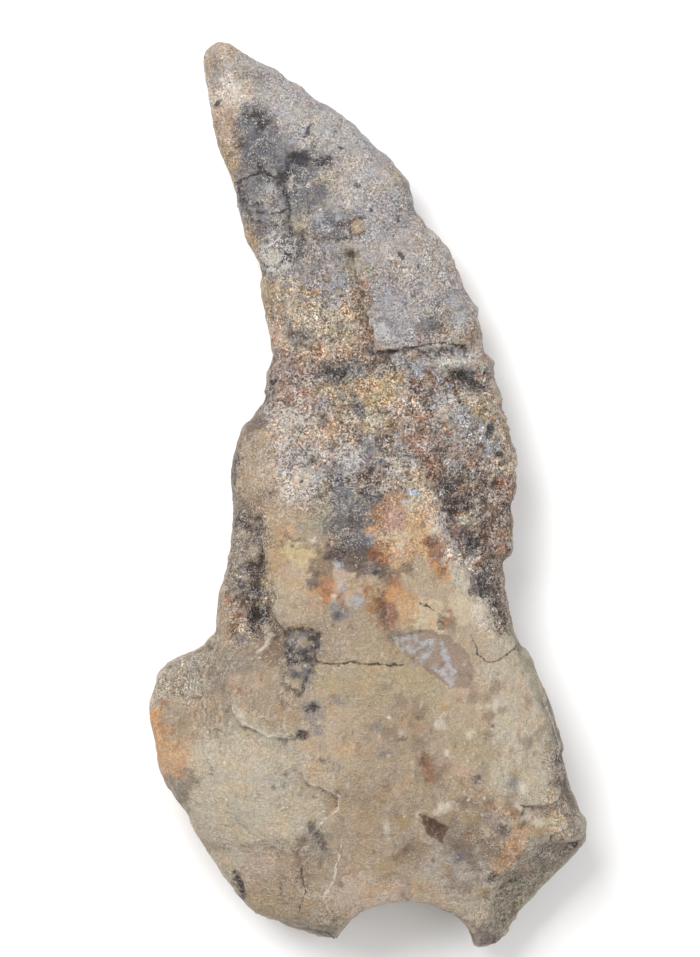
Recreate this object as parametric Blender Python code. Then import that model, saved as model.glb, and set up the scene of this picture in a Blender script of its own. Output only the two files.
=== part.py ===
"""Fossil theropod tooth with its root, as one solid that lies on its inner side.

Frame: metres, +X across the tooth, +Y from the root to the crown's tip, +Z up from the surface that it lies on.
The origin is on that surface, under the middle of the tooth's box.
Every dimension below is in millimetres, in this frame. Points on the front are (x, y).
"""

import math
from collections import namedtuple

import bmesh
import bpy
import numpy as np
from mathutils import Vector, noise

MM = 0.001

# ---- the two edges of the tooth, as (y, x) from the tip to the root's base ----

TIP_Y = 45.35
BASE_Y = -44.6

# concave side: crown, bulge at the crown's base, waist, then the lobe that stands out from the root
LEFT_EDGE = (
    (45.35, -15.2),
    (44.9, -15.9),
    (43.8, -16.4),
    (41.0, -16.0),
    (36.0, -15.1),
    (30.3, -13.25),
    (25.2, -11.8),
    (23.6, -10.9),
    (19.3, -10.55),
    (15.3, -9.5),
    (11.3, -9.9),
    (9.1, -10.3),
    (6.5, -12.3),
    (4.0, -13.4),
    (1.5, -13.6),
    (-1.8, -13.3),
    (-7.8, -14.05),
    (-12.6, -15.1),
    (-14.9, -15.8),
    (-15.9, -18.4),
    (-17.0, -20.1),
    (-18.8, -20.8),
    (-21.9, -21.75),
    (-25.0, -21.2),
    (-28.8, -20.0),
    (-31.8, -18.3),
    (-33.8, -16.75),
    (-38.8, -13.7),
    (-41.0, -11.9),
    (-42.6, -9.7),
    (-43.8, -6.4),
    (-44.6, -3.3),
)

# convex side: crown, the broken shoulder at its base, then the root's side wall down to its lower corner
RIGHT_EDGE = (
    (45.35, -14.2),
    (44.9, -13.4),
    (43.3, -10.9),
    (41.3, -7.45),
    (39.3, -4.6),
    (36.3, -0.65),
    (33.3, 2.35),
    (30.3, 4.45),
    (27.3, 5.35),
    (25.0, 7.8),
    (22.0, 9.4),
    (18.0, 11.2),
    (14.5, 11.9),
    (11.3, 12.95),
    (6.3, 14.25),
    (2.3, 14.95),
    (-1.8, 14.75),
    (-5.6, 14.4),
    (-7.3, 13.5),
    (-9.4, 13.9),
    (-12.7, 14.85),
    (-18.8, 17.25),
    (-24.8, 19.5),
    (-31.8, 21.35),
    (-33.6, 21.75),
    (-35.8, 21.0),
    (-38.6, 18.2),
    (-40.6, 16.2),
    (-42.8, 14.9),
    (-44.6, 13.1),
)

# ---- sections across the tooth ----
# edge: height of both side edges. front: height of the upper face's crest. back: height of the lower face's crest,
# where a value below 0 makes the flat that the tooth rests on.
# bluntness: 1 is an ellipse, above 1 pinches the section to a cutting edge, below 1 makes it boxy.
Section = namedtuple("Section", "y edge front back bluntness")
SECTIONS = (
    Section(y=45.35, edge=4.4, front=5.0, back=3.8, bluntness=1.0),
    Section(y=44.3, edge=4.4, front=6.1, back=2.9, bluntness=1.0),
    Section(y=40.0, edge=4.7, front=7.7, back=2.1, bluntness=1.1),
    Section(y=30.0, edge=5.4, front=10.0, back=1.3, bluntness=1.15),
    Section(y=15.0, edge=6.4, front=12.8, back=0.3, bluntness=1.1),
    Section(y=5.0, edge=7.0, front=14.6, back=-0.5, bluntness=0.95),
    Section(y=-5.0, edge=7.5, front=15.8, back=-0.7, bluntness=0.8),
    Section(y=-15.0, edge=8.0, front=16.7, back=-0.7, bluntness=0.65),
    Section(y=-25.0, edge=8.2, front=16.9, back=-0.6, bluntness=0.6),
    Section(y=-35.0, edge=7.8, front=15.8, back=-0.3, bluntness=0.6),
    Section(y=-41.0, edge=7.2, front=13.9, back=0.5, bluntness=0.65),
    Section(y=-44.6, edge=6.8, front=12.0, back=1.6, bluntness=0.7),
)

ROWS = 73
FRONT_COLUMNS = 40
BACK_COLUMNS = 24
PROFILE_SAMPLES = 400  # points that a half section is measured with before its columns are spread evenly
TIP_ROW_CROWDING = 0.25  # share by which rows draw together towards the tip

# ---- relief of the front ----
# A ledge's path is walked with its high side on the left and its low side on the right.
# run: width of the step. reach: how far the low side stays low.
Ledge = namedtuple("Ledge", "name path drop run reach")
LEDGES = (
    Ledge(
        "root plate above the gritty dentine on the right",
        ((14.9, -15.2), (12.6, -11.0), (10.4, -9.6), (9.8, -6.3), (7.8, -2.9), (7.0, 0.2)),
        drop=1.3,
        run=1.3,
        reach=8.0,
    ),
    Ledge(
        "root plate above the crevice on the left",
        ((-10.9, -2.5), (-10.3, -5.6), (-9.9, -8.4), (-8.9, -10.3), (-8.3, -13.4), (-5.4, -13.6)),
        drop=0.8,
        run=1.2,
        reach=3.0,
    ),
    Ledge(
        "enamel above the worn dentine of the crown",
        ((-1.3, 24.0), (-0.6, 20.5), (0.2, 17.6), (0.8, 14.4)),
        drop=0.45,
        run=1.0,
        reach=5.0,
    ),
    Ledge(
        "enamel's lower margin",
        ((0.8, 14.4), (6.3, 13.2), (12.0, 12.4)),
        drop=0.5,
        run=1.0,
        reach=4.0,
    ),
    Ledge(
        "brown layer above the grey plate",
        ((-14.2, -22.4), (-11.3, -22.9), (-8.4, -24.0), (-6.8, -27.3), (-5.9, -28.8), (-2.8, -29.8)),
        drop=0.5,
        run=0.9,
        reach=4.0,
    ),
    Ledge(
        "grey plate above the layers at the root's lower left",
        ((-15.6, -34.8), (-10.3, -35.1), (-6.8, -35.8), (-5.4, -32.9), (-3.5, -32.1), (-2.7, -29.9)),
        drop=0.6,
        run=1.1,
        reach=5.0,
    ),
    Ledge(
        "lip of the pale plate at the lower right",
        ((15.9, -30.8), (17.6, -31.1), (19.0, -30.6), (19.6, -29.0)),
        drop=0.7,
        run=0.9,
        reach=3.0,
    ),
    Ledge(
        "root above the layer that shows under its lower right corner",
        (
            (10.0, -44.9),
            (12.5, -42.4),
            (12.9, -40.2),
            (13.5, -38.6),
            (16.1, -36.1),
            (17.6, -35.2),
            (20.6, -34.7),
            (22.5, -33.0),
        ),
        drop=2.4,
        run=1.2,
        reach=20.0,
    ),
    Ledge(
        "last layer of the base's left rim",
        ((-12.6, -41.4), (-7.7, -43.1), (-3.0, -44.0)),
        drop=1.3,
        run=0.9,
        reach=6.0,
    ),
)

# height above or below the face at the middle, and half sizes along the two axes before a turn in degrees
Mound = namedtuple("Mound", "name centre half_sizes turn height")
MOUNDS = (
    Mound("bulge at the crown's base", (-10.2, 2.6), (3.4, 5.2), 0, 1.0),
    Mound("lobe set back from the root", (-19.4, -19.2), (4.4, 6.5), 20, -3.4),
    Mound("end of the left crevice", (-10.4, -12.7), (1.6, 2.0), 0, -0.7),
    Mound("lump in the crevice", (-11.9, -5.4), (1.0, 1.3), 0, 0.9),
    Mound("hollow of the dark patch", (-6.3, -16.0), (1.8, 3.0), 0, -0.6),
    Mound("glossy chip", (6.6, -16.2), (4.6, 2.2), -30, -0.8),
    Mound("swell of the middle of the root", (1.5, -9.0), (5.0, 9.0), 0, 0.7),
    Mound("pit in the crown's base, left", (-2.9, 12.1), (1.5, 1.0), 0, -0.8),
    Mound("pit in the crown's base, right", (9.9, 11.3), (1.9, 1.0), 0, -0.9),
    Mound("pit in the gritty dentine", (12.3, 6.2), (1.1, 1.8), 0, -0.5),
    Mound("pale chip on the gritty dentine", (9.6, -2.0), (1.5, 1.2), 0, 0.8),
    Mound("dark hollow in the gritty dentine", (11.0, -5.2), (1.6, 2.2), 0, -0.7),
    Mound("brown chip near the base", (6.9, -33.0), (1.4, 1.2), 0, -0.6),
    Mound("spot under the grey plate", (-4.9, -33.6), (1.0, 1.6), 20, -0.6),
)

CREVICE = ((-13.0, -1.0), (-11.9, -3.4), (-11.3, -5.6), (-11.0, -8.2), (-10.5, -10.6), (-10.4, -12.9))
CREVICE_DEPTH = 1.0
CREVICE_HALF_WIDTH = 1.1

# ---- relief of the back ----
BACK_LEDGES = (
    Ledge(
        "enamel's lower margin on the back",
        ((-9.5, 12.5), (-3.0, 10.8), (4.0, 12.6), (12.0, 11.2)),
        drop=0.5,
        run=1.2,
        reach=6.0,
    ),
    Ledge(
        "layer flaked off the root's back",
        ((9.5, -37.0), (12.5, -29.0), (9.0, -21.0), (12.0, -12.0)),
        drop=0.7,
        run=1.2,
        reach=9.0,
    ),
)
BACK_GROOVE = ((-0.5, -16.0), (-1.5, -28.0), (-1.0, -42.0))
BACK_GROOVE_DEPTH = 1.2
BACK_GROOVE_HALF_WIDTH = 3.2

# ---- broken outline ----
# A nick or a bump of an edge: where along the edge, how far it moves the edge out (+) or in (-), and its half length
Bump = namedtuple("Bump", "y out half_length")
LEFT_BUMPS = (
    Bump(25.0, 0.25, 0.9),
    Bump(23.2, -0.2, 0.9),
    Bump(11.0, 0.25, 0.8),
    Bump(-31.0, -0.2, 1.0),
)
RIGHT_BUMPS = (
    Bump(42.3, 0.25, 1.0),
    Bump(38.0, 0.3, 1.1),
    Bump(34.0, 0.3, 1.0),
    Bump(31.5, 0.25, 0.9),
    Bump(28.2, -0.25, 0.9),
    Bump(25.4, 0.4, 1.0),
    Bump(20.4, -0.3, 0.9),
    Bump(14.6, -0.25, 0.8),
    Bump(13.3, 0.25, 0.8),
    Bump(-1.2, -0.3, 0.8),
)

# ---- root's base ----
SPUR_X = 11.6  # the spur of root left standing beside the notch
SPUR_HALF_WIDTH = 1.9
SPUR_DROP = 0.75
SPUR_FADE = 3.0
NOTCH_X = 3.85
NOTCH_Y = -45.4
NOTCH_HALF_WIDTH = 7.15
NOTCH_DEPTH = 5.0
NOTCH_SIDES = 28
NOTCH_LENGTH = 40.0

# ---- roughness of the broken surface ----
LUMP_SIZE = 3.2
LUMP_HEIGHT = 0.16
GRIT_CENTRE = (12.0, 0.0)
GRIT_HALF_SIZES = (6.0, 12.0)
GRIT_HEIGHT = 0.3

FOSSIL_COLOUR = (0.40, 0.33, 0.235, 1.0)
FOSSIL_ROUGHNESS = 0.82


def smooth_step(value):
    """0 below 0, 1 above 1, and an S-curve between."""
    held = np.clip(value, 0.0, 1.0)
    return held * held * (3.0 - 2.0 * held)


def smooth_curve(at, known_at, known):
    """Values of the smooth curve through the known points, without overshoot where they level out."""
    order = np.argsort(known_at)
    xs = np.asarray(known_at, float)[order]
    ys = np.asarray(known, float)[order]
    steps = np.diff(xs)
    slopes = np.diff(ys) / steps
    tangents = np.concatenate((slopes[:1], (slopes[:-1] + slopes[1:]) / 2, slopes[-1:]))
    tangents[1:-1][slopes[:-1] * slopes[1:] <= 0] = 0.0
    at = np.clip(at, xs[0], xs[-1])
    span = np.clip(np.searchsorted(xs, at, side="right") - 1, 0, len(steps) - 1)
    width = steps[span]
    t = (at - xs[span]) / width
    return (
        (1 + 2 * t) * (1 - t) ** 2 * ys[span]
        + t * (1 - t) ** 2 * width * tangents[span]
        + t * t * (3 - 2 * t) * ys[span + 1]
        + t * t * (t - 1) * width * tangents[span + 1]
    )


def edge_at(y, edge, bumps, outward):
    """x of one side edge at each height y, with its bumps and nicks."""
    x = smooth_curve(y, [point[0] for point in edge], [point[1] for point in edge])
    for bump in bumps:
        x = x + outward * bump.out * np.exp(-(((y - bump.y) / bump.half_length) ** 2))
    return x


def section_at(y, field):
    """One dimension of the section at each height y."""
    return smooth_curve(y, [s.y for s in SECTIONS], [getattr(s, field) for s in SECTIONS])


def row_heights():
    """y of each row, with the rows drawn together towards the tip."""
    share = np.linspace(0.0, 1.0, ROWS)
    crowded = share - TIP_ROW_CROWDING / math.pi * np.sin(math.pi * share) * (1 - share)
    return TIP_Y + (BASE_Y - TIP_Y) * crowded


def half_section(half_width, rise, bluntness, columns):
    """Points (x, z) of one half of a section, spread evenly from its first edge to just before its second."""
    angle = np.linspace(0.0, math.pi, PROFILE_SAMPLES)
    x = half_width * np.cos(angle)
    z = rise * np.sin(angle).clip(0.0) ** bluntness
    run = np.concatenate(([0.0], np.cumsum(np.hypot(np.diff(x), np.diff(z)))))
    wanted = np.linspace(0.0, run[-1], columns, endpoint=False)
    return np.interp(wanted, run, x), np.interp(wanted, run, z)


def tooth_ring(y, left, right):
    """Points (x, y, z) of the plain tooth's section at one height, from the right edge over the front."""
    half_width = (right - left) / 2
    edge, bluntness = section_at(y, "edge"), section_at(y, "bluntness")
    front = half_section(half_width, section_at(y, "front") - edge, bluntness, FRONT_COLUMNS)
    back = half_section(-half_width, section_at(y, "back") - edge, bluntness, BACK_COLUMNS)
    x = (left + right) / 2 + np.concatenate((front[0], back[0]))
    z = edge + np.concatenate((front[1], back[1]))
    return np.stack((x, np.full(len(x), y), z), axis=-1)


def tooth_rings():
    """The plain tooth as an array of rings, from the tip to the root's base."""
    heights = row_heights()
    left = edge_at(heights, LEFT_EDGE, LEFT_BUMPS, -1.0)
    right = edge_at(heights, RIGHT_EDGE, RIGHT_BUMPS, 1.0)
    return np.array([tooth_ring(*row) for row in zip(heights, left, right)])


def to_path(x, y, path):
    """Distance of each point to the path, positive on its right, and how far past the path's ends it lies."""
    best = np.full(x.shape, np.inf)
    signed = np.zeros(x.shape)
    past_end = np.zeros(x.shape)
    for index, (start, end) in enumerate(zip(path, path[1:])):
        dx, dy = end[0] - start[0], end[1] - start[1]
        length = math.hypot(dx, dy)
        along = ((x - start[0]) * dx + (y - start[1]) * dy) / length
        held = np.clip(along, 0.0, length)
        away = np.hypot(x - start[0] - held * dx / length, y - start[1] - held * dy / length)
        side = ((x - start[0]) * dy - (y - start[1]) * dx) / length
        nearer = away < best
        before = -along if index == 0 else 0.0
        after = along - length if index == len(path) - 2 else 0.0
        best = np.where(nearer, away, best)
        signed = np.where(nearer, np.copysign(away, side), signed)
        past_end = np.where(nearer, np.maximum(np.maximum(before, after), 0.0), past_end)
    return signed, past_end


def ledge_drop(x, y, ledge):
    """How far the ledge sinks each point into the tooth."""
    away, past_end = to_path(x, y, ledge.path)
    low = smooth_step(away / ledge.run + 0.5)
    back_up = 1 - smooth_step((away - ledge.reach / 2) / ledge.reach)
    return ledge.drop * low * back_up * (1 - smooth_step(past_end * 2 / ledge.reach))


def mound_rise(x, y, mound):
    """How far the mound lifts each point of the front."""
    turn = math.radians(mound.turn)
    dx, dy = x - mound.centre[0], y - mound.centre[1]
    along = (dx * math.cos(turn) + dy * math.sin(turn)) / mound.half_sizes[0]
    across = (dy * math.cos(turn) - dx * math.sin(turn)) / mound.half_sizes[1]
    return mound.height * np.exp(-(along**2 + across**2))


def groove_drop(x, y, path, depth, half_width):
    """How far a groove along the path sinks each point."""
    away, past_end = to_path(x, y, path)
    return depth * np.exp(-((away / half_width) ** 2)) * (1 - smooth_step(past_end / half_width))


def carve_front(rings):
    """Cut the ledges, mounds and the crevice into the upper face."""
    x, y, z = rings[..., 0], rings[..., 1], rings[..., 2]
    change = -groove_drop(x, y, CREVICE, CREVICE_DEPTH, CREVICE_HALF_WIDTH)
    for ledge in LEDGES:
        change -= ledge_drop(x, y, ledge)
    for mound in MOUNDS:
        change += mound_rise(x, y, mound)
    edge = section_at(y, "edge")
    upper = smooth_step((z - edge) / np.maximum(section_at(y, "front") - edge, 0.1) * 2.0)
    rings[..., 2] = np.where(z > edge, z + change * upper, z)


def carve_back(rings):
    """Cut the ledges and the shallow groove into the lower face, and flatten what the tooth rests on."""
    x, y, z = rings[..., 0], rings[..., 1], rings[..., 2]
    sink = groove_drop(x, y, BACK_GROOVE, BACK_GROOVE_DEPTH, BACK_GROOVE_HALF_WIDTH)
    for ledge in BACK_LEDGES:
        sink += ledge_drop(x, y, ledge)
    edge = section_at(y, "edge")
    lower = smooth_step((edge - z) / np.maximum(edge - section_at(y, "back"), 0.1) * 2.0)
    rings[..., 2] = np.where(z < edge, np.maximum(z + sink * lower, 0.0), z)


def drop_spur(rings):
    """Let the right end of the root's base hang lower than the rest of it."""
    x, y = rings[..., 0], rings[..., 1]
    across = np.exp(-(((x - SPUR_X) / SPUR_HALF_WIDTH) ** 2))
    near_base = 1 - smooth_step((y - BASE_Y) / SPUR_FADE)
    rings[..., 1] -= SPUR_DROP * across * near_base


def skin(rings):
    """The closed surface through the rings, in metres, with a flat face across each end."""
    bm = bmesh.new()
    rows = [[bm.verts.new(Vector(point) * MM) for point in ring] for ring in rings]
    for upper, lower in zip(rows, rows[1:]):
        for column, after in zip(range(len(upper)), [*range(1, len(upper)), 0]):
            bm.faces.new((upper[column], upper[after], lower[after], lower[column]))
    bm.faces.new(rows[0])
    bm.faces.new(rows[-1])
    bmesh.ops.recalc_face_normals(bm, faces=bm.faces)
    return bm


def roughen(bm):
    """Lumps of the broken surface, coarser on the gritty side, and none on the flat that it rests on."""
    bm.normal_update()
    moves = []
    for vert in bm.verts:
        place = vert.co / MM
        if place.z < 0.01:
            moves.append(Vector())
            continue
        grit = math.exp(
            -(((place.x - GRIT_CENTRE[0]) / GRIT_HALF_SIZES[0]) ** 2)
            - ((place.y - GRIT_CENTRE[1]) / GRIT_HALF_SIZES[1]) ** 2
        )
        height = LUMP_HEIGHT + (GRIT_HEIGHT - LUMP_HEIGHT) * grit
        moves.append(vert.normal * height * noise.noise(place / LUMP_SIZE * 2) * MM)
    for vert, move in zip(bm.verts, moves):
        vert.co += move
        vert.co.z = max(vert.co.z, 0.0)


def fossil_material():
    """Matte stone-hard dentine and enamel."""
    material = bpy.data.materials.new("fossil")
    material.use_nodes = True
    shader = material.node_tree.nodes["Principled BSDF"]
    shader.inputs["Base Color"].default_value = FOSSIL_COLOUR
    shader.inputs["Roughness"].default_value = FOSSIL_ROUGHNESS
    shader.inputs["Metallic"].default_value = 0.0
    return material


def new_object(name, bm):
    """An object of the scene made from the bmesh, which this frees."""
    mesh = bpy.data.meshes.new(name)
    bm.to_mesh(mesh)
    bm.free()
    made = bpy.data.objects.new(name, mesh)
    bpy.context.scene.collection.objects.link(made)
    return made


def notch_cutter():
    """An oval bar that stands through the root's base."""
    bm = bmesh.new()
    bmesh.ops.create_cone(
        bm, cap_ends=True, segments=NOTCH_SIDES, radius1=1.0, radius2=1.0, depth=NOTCH_LENGTH * MM
    )
    bmesh.ops.scale(bm, vec=(NOTCH_HALF_WIDTH * MM, NOTCH_DEPTH * MM, 1.0), verts=bm.verts)
    bmesh.ops.translate(bm, vec=(NOTCH_X * MM, NOTCH_Y * MM, 0.0), verts=bm.verts)
    cutter = new_object("notch_cutter", bm)
    cutter.hide_render = True
    cutter.display_type = "WIRE"
    return cutter


def make_tooth():
    """The whole tooth, with the notch cut out of its root's base."""
    rings = tooth_rings()
    carve_front(rings)
    carve_back(rings)
    drop_spur(rings)
    bm = skin(rings)
    roughen(bm)
    tooth = new_object("tooth", bm)
    tooth.data.shade_smooth()
    tooth.data.materials.append(fossil_material())
    cut = tooth.modifiers.new("notch", "BOOLEAN")
    cut.operation = "DIFFERENCE"
    cut.solver = "EXACT"
    cut.object = notch_cutter()
    return tooth


def main():
    for old in list(bpy.data.objects):
        bpy.data.objects.remove(old, do_unlink=True)
    make_tooth()


main()
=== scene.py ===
"""Looks of the fossil theropod tooth: relief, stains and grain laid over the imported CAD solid.

Places and sizes are in millimetres in the CAD frame: +X across the tooth, +Y to the crown's tip, +Z up.
Only the floor, the camera's clipping and the lights are in metres.
Colours are sRGB, 0 to 255, and tints are factors of red, green and blue.
A spot is an oval: x and y of its centre, its two half sizes and, unless that is 0, its turn in degrees.
"""

import math
import random

import bmesh
import bpy
import numpy as np
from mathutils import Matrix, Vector, noise


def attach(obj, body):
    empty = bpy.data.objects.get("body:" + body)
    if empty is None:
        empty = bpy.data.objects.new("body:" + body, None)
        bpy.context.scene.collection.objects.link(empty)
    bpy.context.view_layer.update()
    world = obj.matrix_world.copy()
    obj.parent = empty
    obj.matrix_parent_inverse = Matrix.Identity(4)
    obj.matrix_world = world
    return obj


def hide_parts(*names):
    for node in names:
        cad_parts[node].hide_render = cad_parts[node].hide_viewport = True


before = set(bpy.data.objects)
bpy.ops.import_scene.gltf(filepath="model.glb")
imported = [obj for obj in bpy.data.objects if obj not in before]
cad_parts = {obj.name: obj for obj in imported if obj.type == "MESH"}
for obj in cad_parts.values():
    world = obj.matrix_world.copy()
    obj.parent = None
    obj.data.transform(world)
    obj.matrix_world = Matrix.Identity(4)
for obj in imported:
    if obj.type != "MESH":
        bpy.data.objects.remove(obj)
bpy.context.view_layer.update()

MM = 0.001
PIECE = "fossil_tooth"

# ---- mesh ----
MERGE_DISTANCE = 0.001  # corners of the CAD's faces this close are one corner
VOXEL = 0.459  # width of the first, even faces; the front's are then halved
FACES_UP = 0.4  # faces of the front are those whose normal has more than this much of +Z
SMOOTH_PASSES = 3
SMOOTH_SHRINK = 0.5
SMOOTH_GROW = 0.52
HOLLOW_SMOOTHING = 4  # passes that fill the hollows to tell where they are
# height of the tooth's two side edges above the floor, as (y, z)
EDGE_HEIGHT = (
    (-45.0, 6.8), (-35.0, 7.8), (-25.0, 8.2), (-5.0, 7.5), (5.0, 7.0), (15.0, 6.4), (30.0, 5.4),
    (45.0, 4.4),
)
FRONT_BLEND = 1.6  # height over which the back's marks give way to the front's
FRONT_BLEND_BELOW = 0.8  # share of that height that lies below the side edge
# the back's roughness, relief and fibres as a share of the front's
BACK_GRIT = 0.55
BACK_RELIEF = 0.3
BACK_FIBRES = 0.5

# sizes of the noise that makes drawn edges ragged
WARP_WIDE = 2.2
WARP_FINE = 0.7

# ---- colours ----
SRGB = {
    "tan": (158, 141, 119), "pale tan": (172, 154, 131), "cream plate": (183, 168, 141),
    "grey cream": (179, 168, 148), "peach": (177, 158, 140), "pink grey": (173, 171, 171),
    "cool grey": (154, 154, 160), "mid grey": (145, 145, 148), "slate": (112, 114, 121),
    "olive": (162, 147, 120), "yellow olive": (178, 167, 143), "ochre": (164, 143, 113),
    "orange": (187, 142, 96), "pale orange": (184, 150, 116), "rosy orange": (166, 133, 104),
    "brown orange": (150, 112, 74), "brown": (131, 111, 90), "stone": (161, 150, 138),
    "pale peach": (204, 179, 155), "gold": (198, 165, 127), "blue slate": (104, 111, 128),
    "pale blue": (183, 197, 219), "blue grey": (142, 147, 162), "lilac": (171, 165, 174),
    "straw": (184, 167, 131), "yellow cream": (193, 177, 149), "chalk": (210, 199, 187),
    "rose brown": (168, 134, 119), "dark mauve": (114, 97, 93), "rust brown": (142, 104, 82),
    "deep rust": (112, 70, 48), "frost": (232, 224, 217), "burnt orange": (134, 84, 36),
    "dark slate": (96, 95, 99), "black brown": (73, 58, 52), "russet": (164, 135, 116),
    "mauve brown": (156, 138, 133), "umber": (108, 95, 87), "dark umber": (98, 84, 79),
    "slate brown": (156, 146, 148), "grey olive": (147, 140, 122), "wall brown": (138, 127, 112),
    "lobe": (171, 162, 146),
}
BLEND_FALLOFF = 2.2  # how fast a spot's share of the colour or the roughness falls off
TONE_BASE_SHARE = 0.0005  # share of plain tan where no spot is near

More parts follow.
